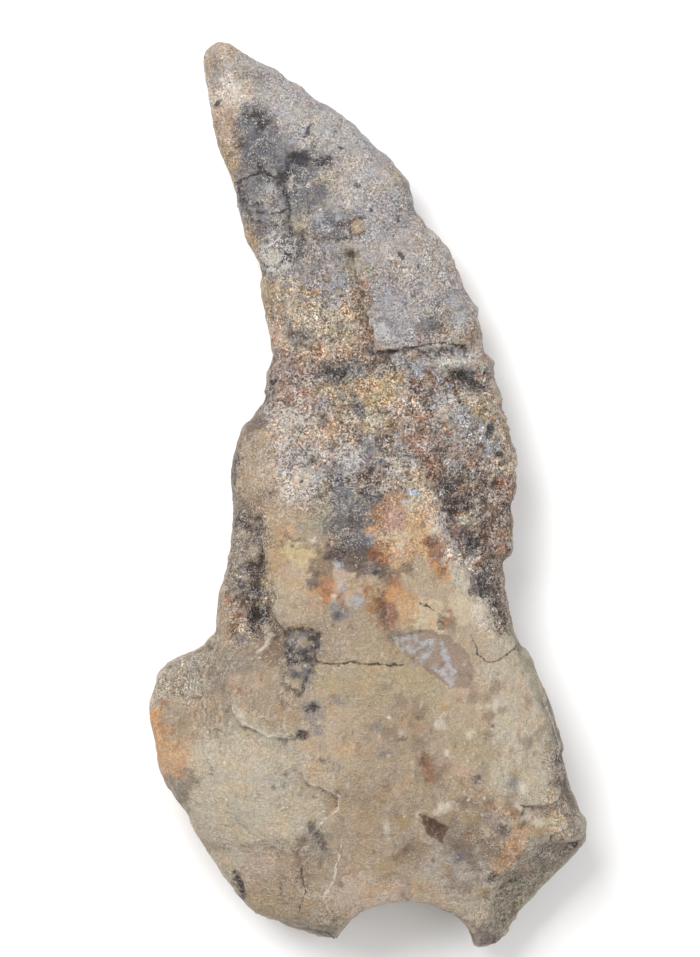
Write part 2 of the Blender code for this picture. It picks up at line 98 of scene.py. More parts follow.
# broad ground colours of the front: spots of each colour, roughly from the tip to the root
FRONT_TONES = {
    "peach": (
        (-15.4, 43.4, 1.8, 2.0), (-13.6, 37.2, 0.9, 1.8, 10), (13.5, -3.6, 0.5, 0.4),
        (-2.8, -8.5, 0.7, 0.9), (-13.1, -10.8, 0.5, 0.6), (6.6, -25.6, 1.2, 1.0), (-10.6, -37.0, 1.6, 1.6),
        (1.0, -39.2, 3.6, 1.2),
    ),
    "pink grey": (
        (-14.4, 42.4, 1.2, 1.2), (-8.6, 39.4, 3.6, 2.6, -30), (-4.2, 35.8, 3.4, 2.4, -40),
        (-0.8, 30.8, 3.0, 3.0), (5.6, 25.0, 2.8, 2.6, -30), (1.6, 24.6, 1.6, 1.4), (7.0, 22.0, 2.6, 3.0),
        (8.2, 13.7, 2.4, 0.8), (12.3, 12.6, 0.7, 1.4, 10), (-4.7, 2.6, 0.7, 1.4), (0.2, 4.8, 0.8, 0.8),
        (5.8, 14.2, 1.6, 0.7),
    ),
    "chalk": (
        (-13.8, 40.4, 1.4, 2.0, 20), (4.1, 9.4, 1.0, 0.8, -30), (-8.8, 6.9, 1.0, 0.7, 15),
        (-6.6, 0.9, 1.5, 1.6), (12.5, 2.9, 0.6, 0.7), (11.6, -11.6, 0.8, 0.9, 30),
    ),
    "grey cream": (
        (-11.6, 41.2, 1.8, 1.4, -30), (-3.4, 31.4, 2.6, 1.4, 30), (-8.0, 20.4, 1.8, 1.4),
        (13.1, 9.4, 0.6, 1.4, 10), (13.5, 6.4, 0.7, 1.5, 8), (9.7, -2.6, 0.9, 0.6, -10),
        (9.3, -8.6, 0.8, 1.6, 15), (-9.0, -11.0, 0.7, 1.2), (14.4, -21.0, 2.2, 5.0, 15),
        (-12.6, -25.6, 3.6, 2.6), (-13.2, -30.6, 3.4, 2.6, -20), (-8.6, -32.0, 3.0, 2.2),
        (15.6, -27.4, 2.2, 2.8), (-13.4, -36.2, 1.2, 1.6, -35), (11.4, -40.2, 1.4, 1.2),
    ),
    "cool grey": (
        (-10.0, 42.0, 2.4, 1.6, -30), (-5.6, 39.4, 2.6, 1.6, -35), (0.4, 35.0, 2.4, 0.9, -45),
        (2.0, 27.4, 3.0, 2.2), (-9.2, 24.6, 1.0, 1.4), (-3.6, 20.6, 2.0, 1.6), (3.6, 18.0, 3.2, 2.6),
        (9.0, 19.4, 1.8, 2.0), (7.8, 7.0, 0.9, 0.7), (9.8, 6.4, 1.1, 0.8), (3.2, 5.2, 0.9, 0.6),
        (0.2, -4.8, 0.4, 0.6),
    ),
    "slate": (
        (-11.0, 36.8, 1.9, 1.9), (-9.8, 34.2, 1.7, 1.5), (-6.6, 31.8, 1.6, 1.6), (-10.0, 31.6, 1.4, 1.0),
        (-6.8, 29.0, 1.4, 1.6), (-3.6, 27.0, 2.2, 0.9, 10), (-2.6, 1.0, 0.7, 0.6, 30),
        (11.6, -9.8, 0.8, 0.6, -40), (-2.6, -0.8, 1.0, 0.8), (-2.8, -11.6, 0.8, 0.6),
    ),
    "ochre": (
        (-13.5, 33.6, 0.6, 1.2, 10), (-11.1, 26.2, 0.8, 1.6), (-9.9, 19.8, 0.8, 1.4),
        (-1.4, 17.8, 1.2, 1.6, 15), (3.2, 11.4, 0.9, 0.8), (0.8, -9.4, 0.6, 0.6), (-9.2, -6.6, 0.7, 1.4),
        (-9.6, -41.0, 1.8, 1.2),
    ),
    "mid grey": (
        (-8.0, 35.8, 1.3, 1.0), (-10.2, 29.6, 1.8, 1.8), (-9.6, 26.8, 1.6, 1.6), (4.4, 28.6, 1.8, 2.2, -50),
        (-5.6, 22.6, 3.0, 2.6), (9.8, 22.6, 0.9, 2.0, 15),
    ),
    "stone": (
        (2.6, 32.2, 2.2, 0.8, -50), (10.9, 16.0, 1.1, 2.4, 15), (7.2, 16.4, 1.2, 1.2),
        (-6.6, 15.8, 1.1, 1.1), (-6.0, 7.6, 1.2, 0.5), (-1.8, 5.4, 1.0, 0.6), (3.0, 1.5, 0.8, 0.8),
        (-1.0, -10.5, 0.7, 0.5), (-12.0, -5.2, 0.6, 0.9), (8.4, -37.6, 2.2, 1.6),
    ),
    "yellow olive": ((-7.0, 27.2, 1.4, 1.2), (-5.8, 17.8, 2.6, 2.0), (-3.4, 16.8, 1.8, 1.8)),
    "grey olive": (
        (-1.3, 22.6, 0.9, 1.6, 15), (-4.6, -1.0, 0.8, 1.4), (-5.2, -3.0, 0.7, 0.6),
        (17.2, -19.6, 0.8, 5.0, 18), (16.6, -37.6, 2.0, 2.6), (14.0, -41.6, 1.4, 2.2, -20),
    ),
    "russet": (
        (-0.6, 20.4, 0.7, 1.4, 15), (-1.2, 16.8, 0.9, 0.9), (-5.4, 12.6, 1.2, 0.7, 20),
        (3.2, 7.0, 0.7, 0.5), (5.8, 6.9, 0.5, 0.8), (4.4, 7.9, 0.8, 0.6), (0.6, 14.4, 1.2, 1.6),
    ),
    "pale peach": (
        (-8.8, 16.2, 0.9, 1.6), (7.4, 8.2, 0.6, 0.4), (-3.6, 7.0, 0.9, 0.8), (-4.6, 5.4, 1.2, 0.6),
        (9.7, 0.9, 0.7, 0.5), (6.4, -1.8, 0.6, 1.2, 20), (7.0, -4.5, 0.7, 0.8),
    ),
    "pale tan": (
        (-4.6, 14.6, 2.0, 0.8), (-4.6, 10.8, 1.4, 0.6), (-9.2, 5.2, 1.2, 0.8), (-11.4, 1.8, 1.4, 1.4),
        (14.0, 3.4, 0.6, 1.4, 5), (-7.0, -1.4, 1.6, 0.7), (5.0, -7.0, 1.0, 0.9), (-0.6, -8.7, 1.0, 0.5, 10),
        (4.6, -8.8, 0.9, 0.6), (6.6, -9.4, 1.4, 0.9), (-8.8, -2.2, 1.0, 0.8), (-7.2, -8.0, 1.2, 1.0),
        (-8.3, -7.8, 0.5, 0.5), (-6.8, -11.0, 1.4, 1.6), (10.2, -19.6, 2.2, 3.4), (-3.4, -23.6, 2.6, 2.6),
        (-3.8, -27.6, 1.8, 1.4), (13.0, -31.6, 1.4, 2.0), (6.0, -39.0, 1.8, 1.0),
    ),
    "mauve brown": (
        (-8.0, 13.0, 1.6, 0.9), (5.0, 13.7, 0.6, 0.5), (10.2, 13.6, 0.8, 0.7), (12.4, 10.4, 0.7, 0.8),
        (1.9, 2.9, 0.7, 0.6), (7.2, 5.2, 0.8, 0.9), (9.8, 3.6, 1.2, 0.9), (9.0, -4.2, 1.1, 1.0),
        (13.4, -10.6, 0.6, 1.2, 15), (7.4, -5.9, 0.6, 0.6),
    ),
    "dark mauve": (
        (-1.4, 12.9, 1.2, 0.5), (8.6, 11.3, 0.7, 0.9), (5.2, 10.2, 1.0, 0.7), (-0.8, 1.5, 0.6, 0.6),
        (11.4, 4.6, 0.6, 0.5), (11.6, 1.1, 0.8, 0.8), (13.0, -2.0, 0.7, 0.8),
    ),
    "dark slate": (
        (-3.2, 12.0, 1.2, 0.7, -10), (3.7, 13.5, 0.6, 0.7, -35), (10.9, 10.7, 1.0, 0.6, -15),
        (-0.9, 8.7, 0.8, 0.6, -30), (10.9, -4.8, 0.6, 0.8), (0.5, -0.3, 0.7, 0.7), (-1.4, -2.6, 1.6, 1.2),
        (-0.9, -4.8, 1.0, 0.6),
    ),
    "umber": (
        (1.2, 13.0, 0.8, 1.3, 30), (2.8, 13.3, 0.9, 0.5, -35), (-9.4, 9.7, 0.7, 0.9), (-4.5, 7.9, 0.5, 0.4),
        (-10.4, 7.6, 0.7, 0.8, 40), (-11.6, 6.3, 0.9, 0.6, 50), (0.4, 1.5, 0.8, 0.7, -30),
        (9.4, 2.1, 1.4, 0.5), (-0.8, -6.8, 1.1, 1.0), (-5.3, -9.0, 0.4, 0.6), (-11.2, -3.4, 0.5, 0.8),
        (-11.6, -7.6, 0.6, 0.9), (-12.2, -9.4, 1.0, 0.7), (12.2, -44.2, 0.9, 0.8),
    ),
    "pale blue": (
        (4.8, 12.6, 0.7, 0.6, -30), (7.2, 12.2, 0.8, 0.8, 20), (11.6, 5.9, 0.6, 1.0, 20),
        (12.4, 4.2, 0.5, 0.7, 20), (4.5, 0.2, 0.5, 0.4),
    ),
    "deep rust": (
        (5.0, 11.4, 0.6, 0.4), (7.3, 10.9, 0.5, 0.4), (-6.6, 11.4, 1.2, 0.9), (-2.2, -10.4, 0.5, 0.5),
        (-12.2, -11.6, 0.6, 0.5),
    ),
    "gold": (
        (6.2, 11.7, 0.6, 0.5), (-1.2, 10.4, 0.5, 0.4), (-9.8, 6.4, 0.4, 0.3), (5.2, -2.8, 0.9, 0.6),
        (2.6, -4.8, 0.9, 0.6), (5.4, -4.6, 0.8, 0.9),
    ),
    "blue grey": (
        (9.7, 11.6, 0.6, 0.7), (7.4, 9.6, 0.9, 0.8), (9.5, 8.2, 0.9, 0.7, -20), (-3.3, 2.7, 1.0, 0.6),
    ),
    "slate brown": ((-8.2, 11.6, 1.0, 0.8), (7.8, -2.2, 0.6, 1.0), (10.6, -8.4, 0.8, 0.7)),
    "rose brown": (
        (-7.8, 9.8, 1.4, 1.2), (4.8, 5.0, 0.9, 0.8), (12.8, -5.2, 0.9, 0.8), (2.9, -2.4, 0.9, 0.9),
    ),
    "lilac": ((-4.8, 9.2, 0.8, 0.7), (-7.6, 3.0, 0.9, 0.9), (-1.1, 3.4, 0.9, 0.9)),
    "straw": (
        (-2.6, 10.2, 1.4, 0.8), (1.2, 11.0, 1.7, 1.0), (1.2, 9.0, 0.9, 1.4), (12.2, 8.2, 0.9, 0.8),
        (-7.2, -5.8, 1.4, 0.8),
    ),
    "tan": (
        (-2.6, 8.2, 1.2, 1.2), (-11.2, 4.4, 1.4, 1.4), (-10.6, -0.4, 1.4, 1.0), (-5.4, -4.6, 0.6, 0.5),
        (-13.2, -13.4, 1.2, 1.6), (-2.2, -13.6, 3.2, 2.2), (-11.6, -19.4, 2.0, 2.0),
        (-8.6, -20.6, 2.0, 2.0), (-16.6, -21.8, 2.0, 2.0), (-19.2, -22.6, 1.2, 2.0), (3.0, -24.4, 3.6, 3.0),
        (0.6, -30.4, 3.2, 3.2), (9.0, -30.6, 1.8, 1.4), (1.0, -35.6, 3.4, 2.6), (-7.6, -38.2, 2.6, 2.6),
    ),
    "black brown": (
        (6.2, 8.6, 0.5, 0.4), (-13.1, 3.6, 0.5, 2.4, -5), (-6.7, 3.4, 0.7, 0.5), (4.3, 3.9, 0.5, 0.5),
        (8.0, 4.5, 0.5, 0.7), (10.2, -0.4, 0.9, 0.8), (8.8, -1.5, 0.7, 0.5), (13.2, -12.0, 0.4, 1.2, 20),
        (-2.8, -5.8, 0.7, 0.6), (-10.9, -5.8, 0.4, 1.0), (-10.6, -10.9, 0.7, 0.8), (-11.0, -12.7, 0.5, 0.5),
    ),
    "yellow cream": (
        (10.6, 9.6, 1.3, 0.7, -15), (0.7, 7.0, 0.8, 0.5), (4.3, 2.3, 0.8, 0.4), (5.5, 0.9, 0.9, 0.7),
        (4.4, -0.9, 0.6, 0.6), (3.2, -3.9, 0.9, 0.3), (6.2, -12.2, 1.2, 1.2), (9.6, -11.0, 1.0, 1.0),
        (-10.0, -9.5, 0.4, 0.5),
    ),
    "dark umber": (
        (9.3, 9.9, 0.6, 0.4), (8.0, 0.6, 0.9, 0.9), (-1.9, -3.8, 0.8, 0.6), (0.9, -6.9, 0.5, 0.4),
    ),
    "brown": (
        (1.7, 6.2, 1.0, 0.5), (12.8, -7.6, 0.7, 1.6), (-4.6, -7.2, 0.7, 0.9), (1.6, -7.9, 0.9, 0.7, -20),
        (3.7, -7.5, 0.5, 0.4), (-7.0, -4.7, 1.0, 0.3, -25), (-8.8, -15.2, 1.4, 1.6),
    ),
    "orange": (
        (-6.4, 5.2, 0.6, 0.5), (0.3, -3.2, 0.6, 0.7), (6.3, -6.4, 0.5, 0.4, -30), (7.6, -7.6, 0.6, 0.7),
        (-4.0, -9.6, 0.7, 0.6), (2.8, -9.8, 0.7, 0.7, -30), (-20.8, -23.8, 0.7, 1.8),
    ),
    "frost": (
        (-4.0, 4.0, 0.8, 0.7), (6.2, -0.2, 0.8, 0.5), (8.5, 2.9, 0.5, 0.3), (11.8, -1.6, 0.7, 0.8),
        (10.8, -6.6, 0.8, 0.7), (8.5, -5.8, 0.5, 0.8, 20),
    ),
    "blue slate": ((0.4, 3.3, 0.9, 0.5),),
    "wall brown": (
        (1.6, 5.2, 0.7, 0.6), (8.1, -12.6, 0.3, 0.6), (-12.6, -2.0, 0.6, 1.2), (-13.2, -6.4, 0.5, 2.0),
        (-13.6, -17.4, 2.4, 1.8), (19.6, -27.6, 0.9, 5.0, 15), (-18.6, -29.2, 1.0, 1.4, -40),
        (9.6, -34.6, 1.8, 1.6), (-5.0, -35.0, 1.0, 1.4), (-6.2, -43.6, 3.0, 0.8, -15),
        (19.6, -36.6, 1.6, 1.2),
    ),
    "rust brown": (
        (6.5, 2.7, 0.6, 1.0, -10), (13.9, 0.6, 0.7, 1.0), (12.0, -3.8, 0.6, 0.7), (2.3, -12.0, 0.5, 1.0),
    ),
    "brown orange": ((1.2, -1.6, 0.6, 0.8, 20), (1.1, -4.9, 0.5, 0.6), (0.9, -11.2, 0.6, 1.2, 10)),
    "rosy orange": ((2.9, -0.6, 0.9, 0.5),),
    "burnt orange": ((1.4, -5.9, 0.9, 0.5),),
    "pale orange": (
        (3.3, -6.4, 0.8, 0.6), (3.9, -11.4, 0.8, 1.0, -20), (-8.0, -3.6, 0.7, 0.5),
        (-18.8, -26.0, 1.2, 1.6, -30), (14.6, -35.4, 0.8, 1.8, -35),
    ),
    "olive": ((2.0, -18.6, 5.0, 2.2), (10.4, -25.4, 2.0, 1.8)),
    "lobe": ((-18.6, -19.0, 2.2, 2.4), (-8.4, -27.6, 2.8, 2.2)),
    "cream plate": ((19.0, -31.6, 0.9, 1.8),),
}

# broad ground colours of the back, which lies on the floor
BACK_TONES = {
    "peach": ((-15.0, 43.0, 2.4, 2.4),),
    "pink grey": ((-10.0, 38.0, 3.4, 3.0), (0.0, 30.0, 4.0, 3.4)),
    "slate": ((-5.0, 34.0, 2.6, 1.8, -40),),
    "cool grey": ((-8.0, 30.0, 3.0, 3.0), (2.0, 22.0, 4.0, 3.0)),
    "yellow olive": ((-8.0, 22.0, 3.0, 3.0),),
    "tan": ((8.0, 18.0, 3.0, 4.0), (-8.0, 4.0, 4.0, 5.0), (4.0, -15.0, 5.0, 5.0), (-8.0, -36.0, 5.0, 4.0)),
    "russet": ((-6.0, 13.0, 4.0, 2.0),),
    "mauve brown": ((4.0, 11.0, 5.0, 2.0),),
    "umber": ((10.0, 6.0, 2.4, 4.0),),
    "slate brown": ((0.0, 3.0, 3.0, 3.0),),
    "pale orange": ((2.0, -5.0, 3.0, 2.4), (-19.0, -23.0, 2.6, 4.0)),
    "pale tan": ((-6.0, -9.0, 4.0, 5.0), (9.0, -25.0, 4.0, 5.0)),
    "wall brown": ((11.0, -7.0, 2.4, 5.0, 15), (17.0, -27.0, 2.6, 7.0, 15)),
    "grey olive": ((-1.0, -24.0, 2.6, 8.0), (15.0, -38.0, 3.0, 4.0)),
    "grey cream": ((-12.0, -22.0, 5.0, 6.0),),
    "olive": ((6.0, -36.0, 4.0, 3.6),),
}

# how rough the broken surface is: share, then the spot
GRIT = (
    (0.38, -8.0, 38.0, 9.0, 7.0), (0.36, -1.0, 30.0, 6.0, 5.0), (0.45, -10.0, 28.0, 3.0, 6.0),
    (0.44, 4.0, 24.0, 5.0, 6.0), (0.55, -8.0, 21.0, 4.0, 5.0), (0.55, 8.0, 18.0, 5.0, 5.0),
    (0.70, -5.0, 16.0, 6.0, 4.0), (0.30, 3.0, 18.0, 2.6, 2.4), (1.00, 8.0, 10.0, 6.0, 4.0),
    (1.00, -5.0, 11.0, 6.0, 3.0), (0.55, 2.0, 10.0, 2.0, 2.2), (0.30, -11.4, 2.6, 2.6, 4.0),
    (0.95, -6.0, 4.0, 3.0, 4.0), (0.90, 1.0, 4.0, 4.0, 3.0), (1.00, 9.0, 4.0, 5.0, 6.0),
    (0.35, -1.0, -2.0, 3.0, 3.0), (0.30, 4.0, -3.0, 3.0, 3.0), (1.00, 12.0, -4.0, 3.0, 5.0),
    (0.95, 13.4, -10.0, 1.8, 3.6), (0.12, -6.0, -8.0, 2.6, 4.6), (0.55, -11.8, -6.0, 1.6, 5.0),
    (0.70, -11.6, -12.0, 1.6, 2.2), (0.12, 4.0, -12.0, 7.0, 5.0), (0.45, -18.8, -17.6, 2.6, 2.4),
    (0.18, -19.4, -24.4, 2.4, 3.0), (0.20, -10.0, -20.0, 5.0, 4.0), (0.10, 4.0, -22.0, 8.0, 6.0),
    (0.16, -11.0, -29.0, 6.0, 4.0), (0.14, 2.0, -34.0, 9.0, 6.0), (0.26, 12.0, -34.0, 4.0, 5.0),
    (0.16, 14.0, -22.0, 4.0, 8.0), (0.45, 19.6, -27.0, 1.2, 7.0), (0.40, 16.6, -39.0, 3.6, 4.6),
    (0.24, -9.0, -39.0, 5.0, 4.0),
)
GRIT_BASE = 0.3  # roughness where no spot is near
GRIT_BASE_SHARE = 0.02

# ---- marks ----
FIELD_REACH = 2.0  # marks are known to this far inside and outside their edge

# spots of each group of marks, roughly from the tip to the root
PATCHES = {
    "smoke": (
        (-11.1, 37.5, 1.5, 1.2, 10), (-10.4, 35.8, 1.4, 1.7), (-11.6, 33.2, 0.9, 1.0),
        (-8.5, 31.8, 1.7, 1.2, 40), (-6.5, 33.8, 1.5, 0.9, -10), (-4.1, 33.3, 1.1, 0.8, 10),
        (-4.6, 30.1, 1.1, 1.2), (-7.4, 32.2, 1.6, 1.2, 20), (-10.2, 32.0, 1.1, 0.6),
        (-12.2, 29.6, 0.6, 1.6, 10), (-7.9, 28.2, 0.6, 2.4, 5), (-10.2, 26.4, 1.2, 0.7, -30),
        (-3.4, 27.3, 1.6, 0.6, 12), (-7.4, 24.6, 1.4, 1.6), (6.4, 16.8, 0.9, 0.8), (-2.8, 12.2, 2.0, 0.9),
        (-6.2, -14.9, 1.7, 1.3), (-6.6, -17.4, 1.2, 1.3, 20),
    ),
    "shade": (
        (8.6, 1.4, 2.0, 2.0, -30), (-11.9, -4.6, 0.8, 2.4), (6.2, -26.4, 1.1, 2.0),
        (8.6, -34.6, 1.0, 0.8, -40), (9.8, -35.8, 0.8, 0.6), (12.2, -34.9, 0.8, 0.6, 30),
        (4.4, -35.2, 1.4, 0.7),
    ),
    "slate": (
        (-15.1, 42.8, 0.35, 0.9), (-15.2, 41.0, 0.3, 0.4), (-10.6, 41.4, 0.9, 0.7, -30),
        (-11.9, 36.6, 0.8, 1.3), (-9.4, 34.6, 1.0, 1.2, 30), (-5.2, 32.6, 1.6, 0.7),
        (-4.6, 29.8, 0.9, 1.0, 20), (-11.4, 30.8, 1.1, 0.9), (-10.6, 27.8, 0.9, 0.5),
        (-3.9, 27.2, 1.7, 0.6, 12), (3.6, 31.0, 0.7, 0.4, -45), (4.6, 28.6, 0.8, 0.5, -45),
        (-6.4, 15.4, 0.9, 0.7, -15), (1.9, 17.4, 0.9, 0.4), (0.9, 14.7, 0.6, 0.5), (6.2, 17.0, 0.5, 0.5),
        (8.0, 19.8, 1.0, 0.5, 30), (4.2, 13.1, 0.7, 0.5, -35), (7.0, 14.0, 0.4, 0.25),
        (-1.4, 12.2, 1.4, 0.5), (-6.4, 4.2, 1.2, 0.6, -30), (0.4, 4.6, 1.4, 0.8, -20), (4.0, 3.6, 0.9, 0.6),
        (-0.4, -4.6, 1.3, 0.9, 20), (-3.8, 4.6, 0.7, 0.6), (-2.5, -11.9, 0.8, 0.5, 10),
        (-12.4, -14.4, 0.5, 0.6), (-6.8, -14.6, 1.2, 0.8), (-6.0, -17.8, 0.7, 1.2), (-5.2, -21.6, 1.1, 0.9),
        (-4.9, -23.2, 0.5, 0.4), (-3.0, -20.4, 0.5, 0.5), (1.7, -25.5, 0.7, 0.5, -10),
        (1.0, -22.9, 0.5, 0.4), (-2.9, -27.0, 0.35, 0.25), (11.1, -27.8, 0.5, 0.8, -20),
        (14.4, -29.0, 0.4, 0.4), (14.6, -28.6, 0.8, 0.8), (12.1, -32.1, 0.5, 0.8),
        (13.2, -33.2, 0.7, 0.9, -20), (9.2, -36.2, 0.7, 0.6),
    ),
    "fleck": (
        (-14.9, 39.1, 0.35, 0.32, 40), (-0.95, 30.75, 0.38, 0.32, 30), (-2.35, 34.85, 0.22, 0.22),
        (0.45, 28.35, 0.19, 0.26), (3.15, 27.55, 0.22, 0.48, 20), (3.6, 23.9, 0.38, 0.53),
        (5.2, 22.6, 0.19, 0.26), (-9.3, 11.2, 0.56, 0.32), (-9.9, 9.8, 0.32, 0.32),
        (12.4, 6.4, 0.38, 0.96, -10), (13.2, 4.2, 0.56, 0.32, -40), (1.0, -7.8, 0.38, 0.38),
    ),
    "umber": (
        (-12.6, 35.0, 0.6, 0.5), (-13.3, 36.8, 0.3, 0.5), (-12.4, 29.8, 0.4, 1.0, 10),
        (-4.0, 25.4, 1.2, 0.3, 5), (-1.6, 24.0, 0.8, 0.5, -10), (-0.2, 19.9, 0.4, 1.2, 15),
        (-7.7, 16.0, 0.6, 0.5), (-6.6, 14.9, 0.4, 0.2, -15), (-9.5, 17.6, 0.16, 0.16),
        (7.2, 16.8, 0.5, 0.35), (5.2, 11.3, 0.45, 0.25), (1.6, 8.3, 0.4, 0.4), (-7.4, 3.8, 0.5, 0.4),
        (0.2, 2.4, 1.0, 0.5), (-1.2, -2.6, 0.9, 0.6), (-0.7, -5.6, 1.1, 1.1), (-0.9, -7.0, 0.8, 0.5, -20),
        (5.6, -3.0, 0.4, 0.4), (1.5, -7.9, 0.9, 0.6), (0.8, -6.2, 0.3, 0.5), (-2.9, -11.9, 0.4, 0.3, 10),
        (6.6, -4.8, 0.5, 0.7, -20), (7.6, -7.4, 0.4, 0.6, -20), (-5.0, -7.6, 0.3, 0.4),
        (1.6, -11.6, 0.5, 1.8, 5), (2.6, -14.2, 1.0, 0.5, 20), (7.5, -12.6, 0.35, 0.7),
        (-12.6, -2.6, 0.5, 1.0), (-11.2, -7.4, 0.5, 1.6, -5), (-12.0, -10.6, 0.9, 1.0),
        (-11.0, -13.4, 0.6, 0.4), (3.6, -24.0, 0.3, 0.3), (-0.6, -24.8, 0.3, 0.25), (-4.3, -26.2, 0.4, 0.3),
        (-9.2, -28.8, 0.2, 0.28), (-8.1, -28.8, 0.2, 0.26), (5.6, -26.3, 0.3, 0.5), (7.6, -22.7, 0.5, 0.35),
        (5.2, -22.0, 0.3, 0.3), (11.0, -27.9, 0.4, 0.5, -20), (13.4, -33.4, 0.5, 0.6, -20),
        (10.6, -37.1, 0.5, 0.3, -20), (4.0, -35.4, 0.5, 0.4), (9.2, -36.6, 0.3, 0.3),
        (-6.4, -38.5, 0.25, 0.3), (-2.9, -38.8, 0.25, 0.35), (-8.3, -39.2, 0.25, 1.0, 5),
        (-3.4, -42.2, 0.4, 0.6, 30), (-17.0, -28.4, 0.3, 0.3), (18.4, -34.2, 0.6, 0.5),
        (15.6, -35.8, 0.5, 0.3, 30),
    ),
    "charcoal": (
        (-11.0, 38.0, 0.9, 0.45, 10), (-10.4, 36.9, 0.55, 0.8), (-8.2, 31.8, 1.2, 0.7, 30),
        (-6.7, 33.6, 1.4, 0.7, -10), (-4.3, 33.2, 1.0, 0.55, 10), (-10.8, 28.9, 1.3, 0.25, -5),
        (-2.0, 25.6, 0.8, 0.22, 5), (-7.6, 23.6, 0.4, 0.7, 10), (-6.3, 25.4, 0.28, 0.7),
        (10.0, 11.6, 1.4, 0.55, -22), (11.4, 10.7, 0.7, 0.35, -12), (-3.6, 12.3, 0.9, 0.4, -10),
        (-2.6, 11.9, 0.8, 0.45, 10), (-0.4, 0.4, 0.7, 0.4, 20), (7.9, 0.5, 0.5, 0.4, -30),
        (8.7, -1.5, 0.5, 0.5), (10.2, -1.3, 0.5, 0.4), (14.3, -1.3, 0.55, 0.45), (11.0, -4.8, 0.7, 0.7),
        (11.8, -8.4, 0.6, 1.2, 25), (14.4, -5.6, 0.22, 0.7), (13.4, -11.4, 0.5, 1.6, 28),
        (-11.0, -12.0, 0.8, 0.9), (-10.8, -9.6, 0.5, 0.6), (-5.4, -14.4, 0.6, 0.4),
        (-6.0, -16.2, 0.9, 0.35, -10), (-7.8, -16.4, 0.3, 0.5), (-5.5, -21.2, 0.75, 0.5),
        (-6.4, -23.8, 0.95, 0.5, 10), (12.4, -38.0, 0.8, 0.3, 10), (19.2, -26.4, 0.32, 0.6, 15),
        (19.4, -28.8, 0.26, 0.6, 15), (20.6, -35.0, 0.8, 0.25, 20),
    ),
    "rust": (
        (-13.7, 34.2, 0.25, 0.25), (-3.6, 25.3, 0.4, 0.25), (2.7, 23.2, 0.2, 0.2), (3.0, 20.0, 0.2, 0.16),
        (6.3, 11.6, 0.5, 0.35), (12.0, 13.6, 0.35, 0.5), (-8.9, 5.9, 0.4, 0.3), (13.2, -3.8, 0.6, 0.5),
        (12.2, -1.2, 0.8, 0.5), (6.2, -4.9, 0.9, 0.6, -40), (5.0, 11.4, 0.45, 0.28), (1.3, -5.9, 0.8, 0.35),
        (0.7, -5.9, 0.6, 0.7), (0.2, -9.2, 0.5, 0.5), (-4.1, -9.2, 0.6, 1.0), (2.6, -8.6, 0.5, 0.6),
        (1.7, -10.6, 0.5, 1.2), (7.0, -5.6, 0.8, 1.2, -20), (8.1, -12.4, 0.6, 0.9), (4.4, -10.2, 0.25, 0.2),
        (-12.4, -11.6, 0.5, 0.4), (-13.6, -10.6, 0.4, 0.3), (5.8, -26.8, 0.5, 1.2, 15),
        (6.4, -27.9, 0.5, 0.5), (7.1, -33.3, 0.9, 0.5, -42), (7.3, -32.9, 0.6, 0.5), (6.0, -32.2, 0.4, 0.3),
        (3.0, -36.0, 0.4, 0.3), (14.0, -35.8, 0.4, 0.9, -28), (14.6, -31.4, 0.5, 0.5),
        (12.2, -31.0, 0.4, 0.5), (-20.6, -23.0, 0.35, 0.5), (-19.4, -23.4, 0.3, 0.4),
        (-20.0, -20.8, 0.5, 0.4), (-12.7, -19.2, 0.5, 0.3),
    ),
    "quartz": (
        (-4.0, 26.7, 0.45, 0.3), (-4.7, 27.7, 0.4, 0.35, 20), (-2.8, 27.5, 0.35, 0.25),
        (-9.6, 30.4, 0.5, 0.3, -30), (1.6, 16.2, 0.85, 0.7, -30), (2.4, 15.4, 0.7, 0.4, -30),
        (8.6, 19.0, 0.7, 0.5, -40), (9.4, 17.6, 0.5, 0.7), (3.1, 13.7, 0.5, 0.35, -35),
        (5.4, 12.2, 0.6, 0.35, -30), (-1.2, 3.2, 0.5, 0.5, 30), (-2.7, -7.1, 0.36, 0.42, 10),
        (-2.5, -9.1, 0.4, 0.4, -20), (-0.9, -10.6, 0.5, 0.35, 15), (8.5, 2.9, 0.5, 0.25, 20),
    ),
    "rim": ((-2.7, 26.9, 0.35, 0.28, -20),),
    "bead": ((-0.85, 26.6, 0.7, 0.7),),
    "cream": (
        (-9.3, 23.7, 0.8, 0.8), (2.1, 23.6, 0.3, 0.22), (7.9, 18.7, 0.3, 0.2), (7.6, 12.3, 0.6, 0.4, -20),
        (12.0, 6.9, 0.2, 0.3), (0.5, 7.3, 0.7, 0.35), (3.4, -5.0, 0.36, 0.34), (-3.4, -10.3, 0.3, 0.3),
        (6.9, -3.4, 0.6, 0.5), (7.9, -12.0, 0.25, 0.25), (9.4, -8.0, 0.9, 1.6, 25),
        (11.6, -11.6, 0.8, 1.6, 30), (-5.3, -4.5, 0.35, 0.4), (-8.6, -0.9, 0.3, 0.25),
        (-11.2, -6.0, 0.25, 0.3), (10.3, -23.8, 0.5, 0.3, 30), (7.6, -31.1, 1.1, 0.5, 25),
        (15.8, -31.8, 0.5, 0.9, -30), (17.2, -32.6, 0.5, 0.7), (9.6, -36.9, 0.5, 0.4),
        (11.2, -35.2, 0.5, 0.3, 40), (-12.5, -22.0, 0.35, 0.7), (20.2, -31.0, 0.16, 0.5),
    ),
    "orange": (
        (-5.05, 20.3, 0.3, 0.26), (11.3, 11.9, 0.2, 0.16), (-6.35, 5.25, 0.62, 0.48, -15),
        (9.2, -1.7, 0.32, 0.24),
    ),
    "peach": (
        (4.6, 13.9, 0.5, 0.35, 20), (-2.2, -10.0, 0.9, 0.7), (-13.0, -18.5, 0.8, 0.8),
        (-10.6, -18.6, 0.6, 0.6),
    ),
    "pebble": (
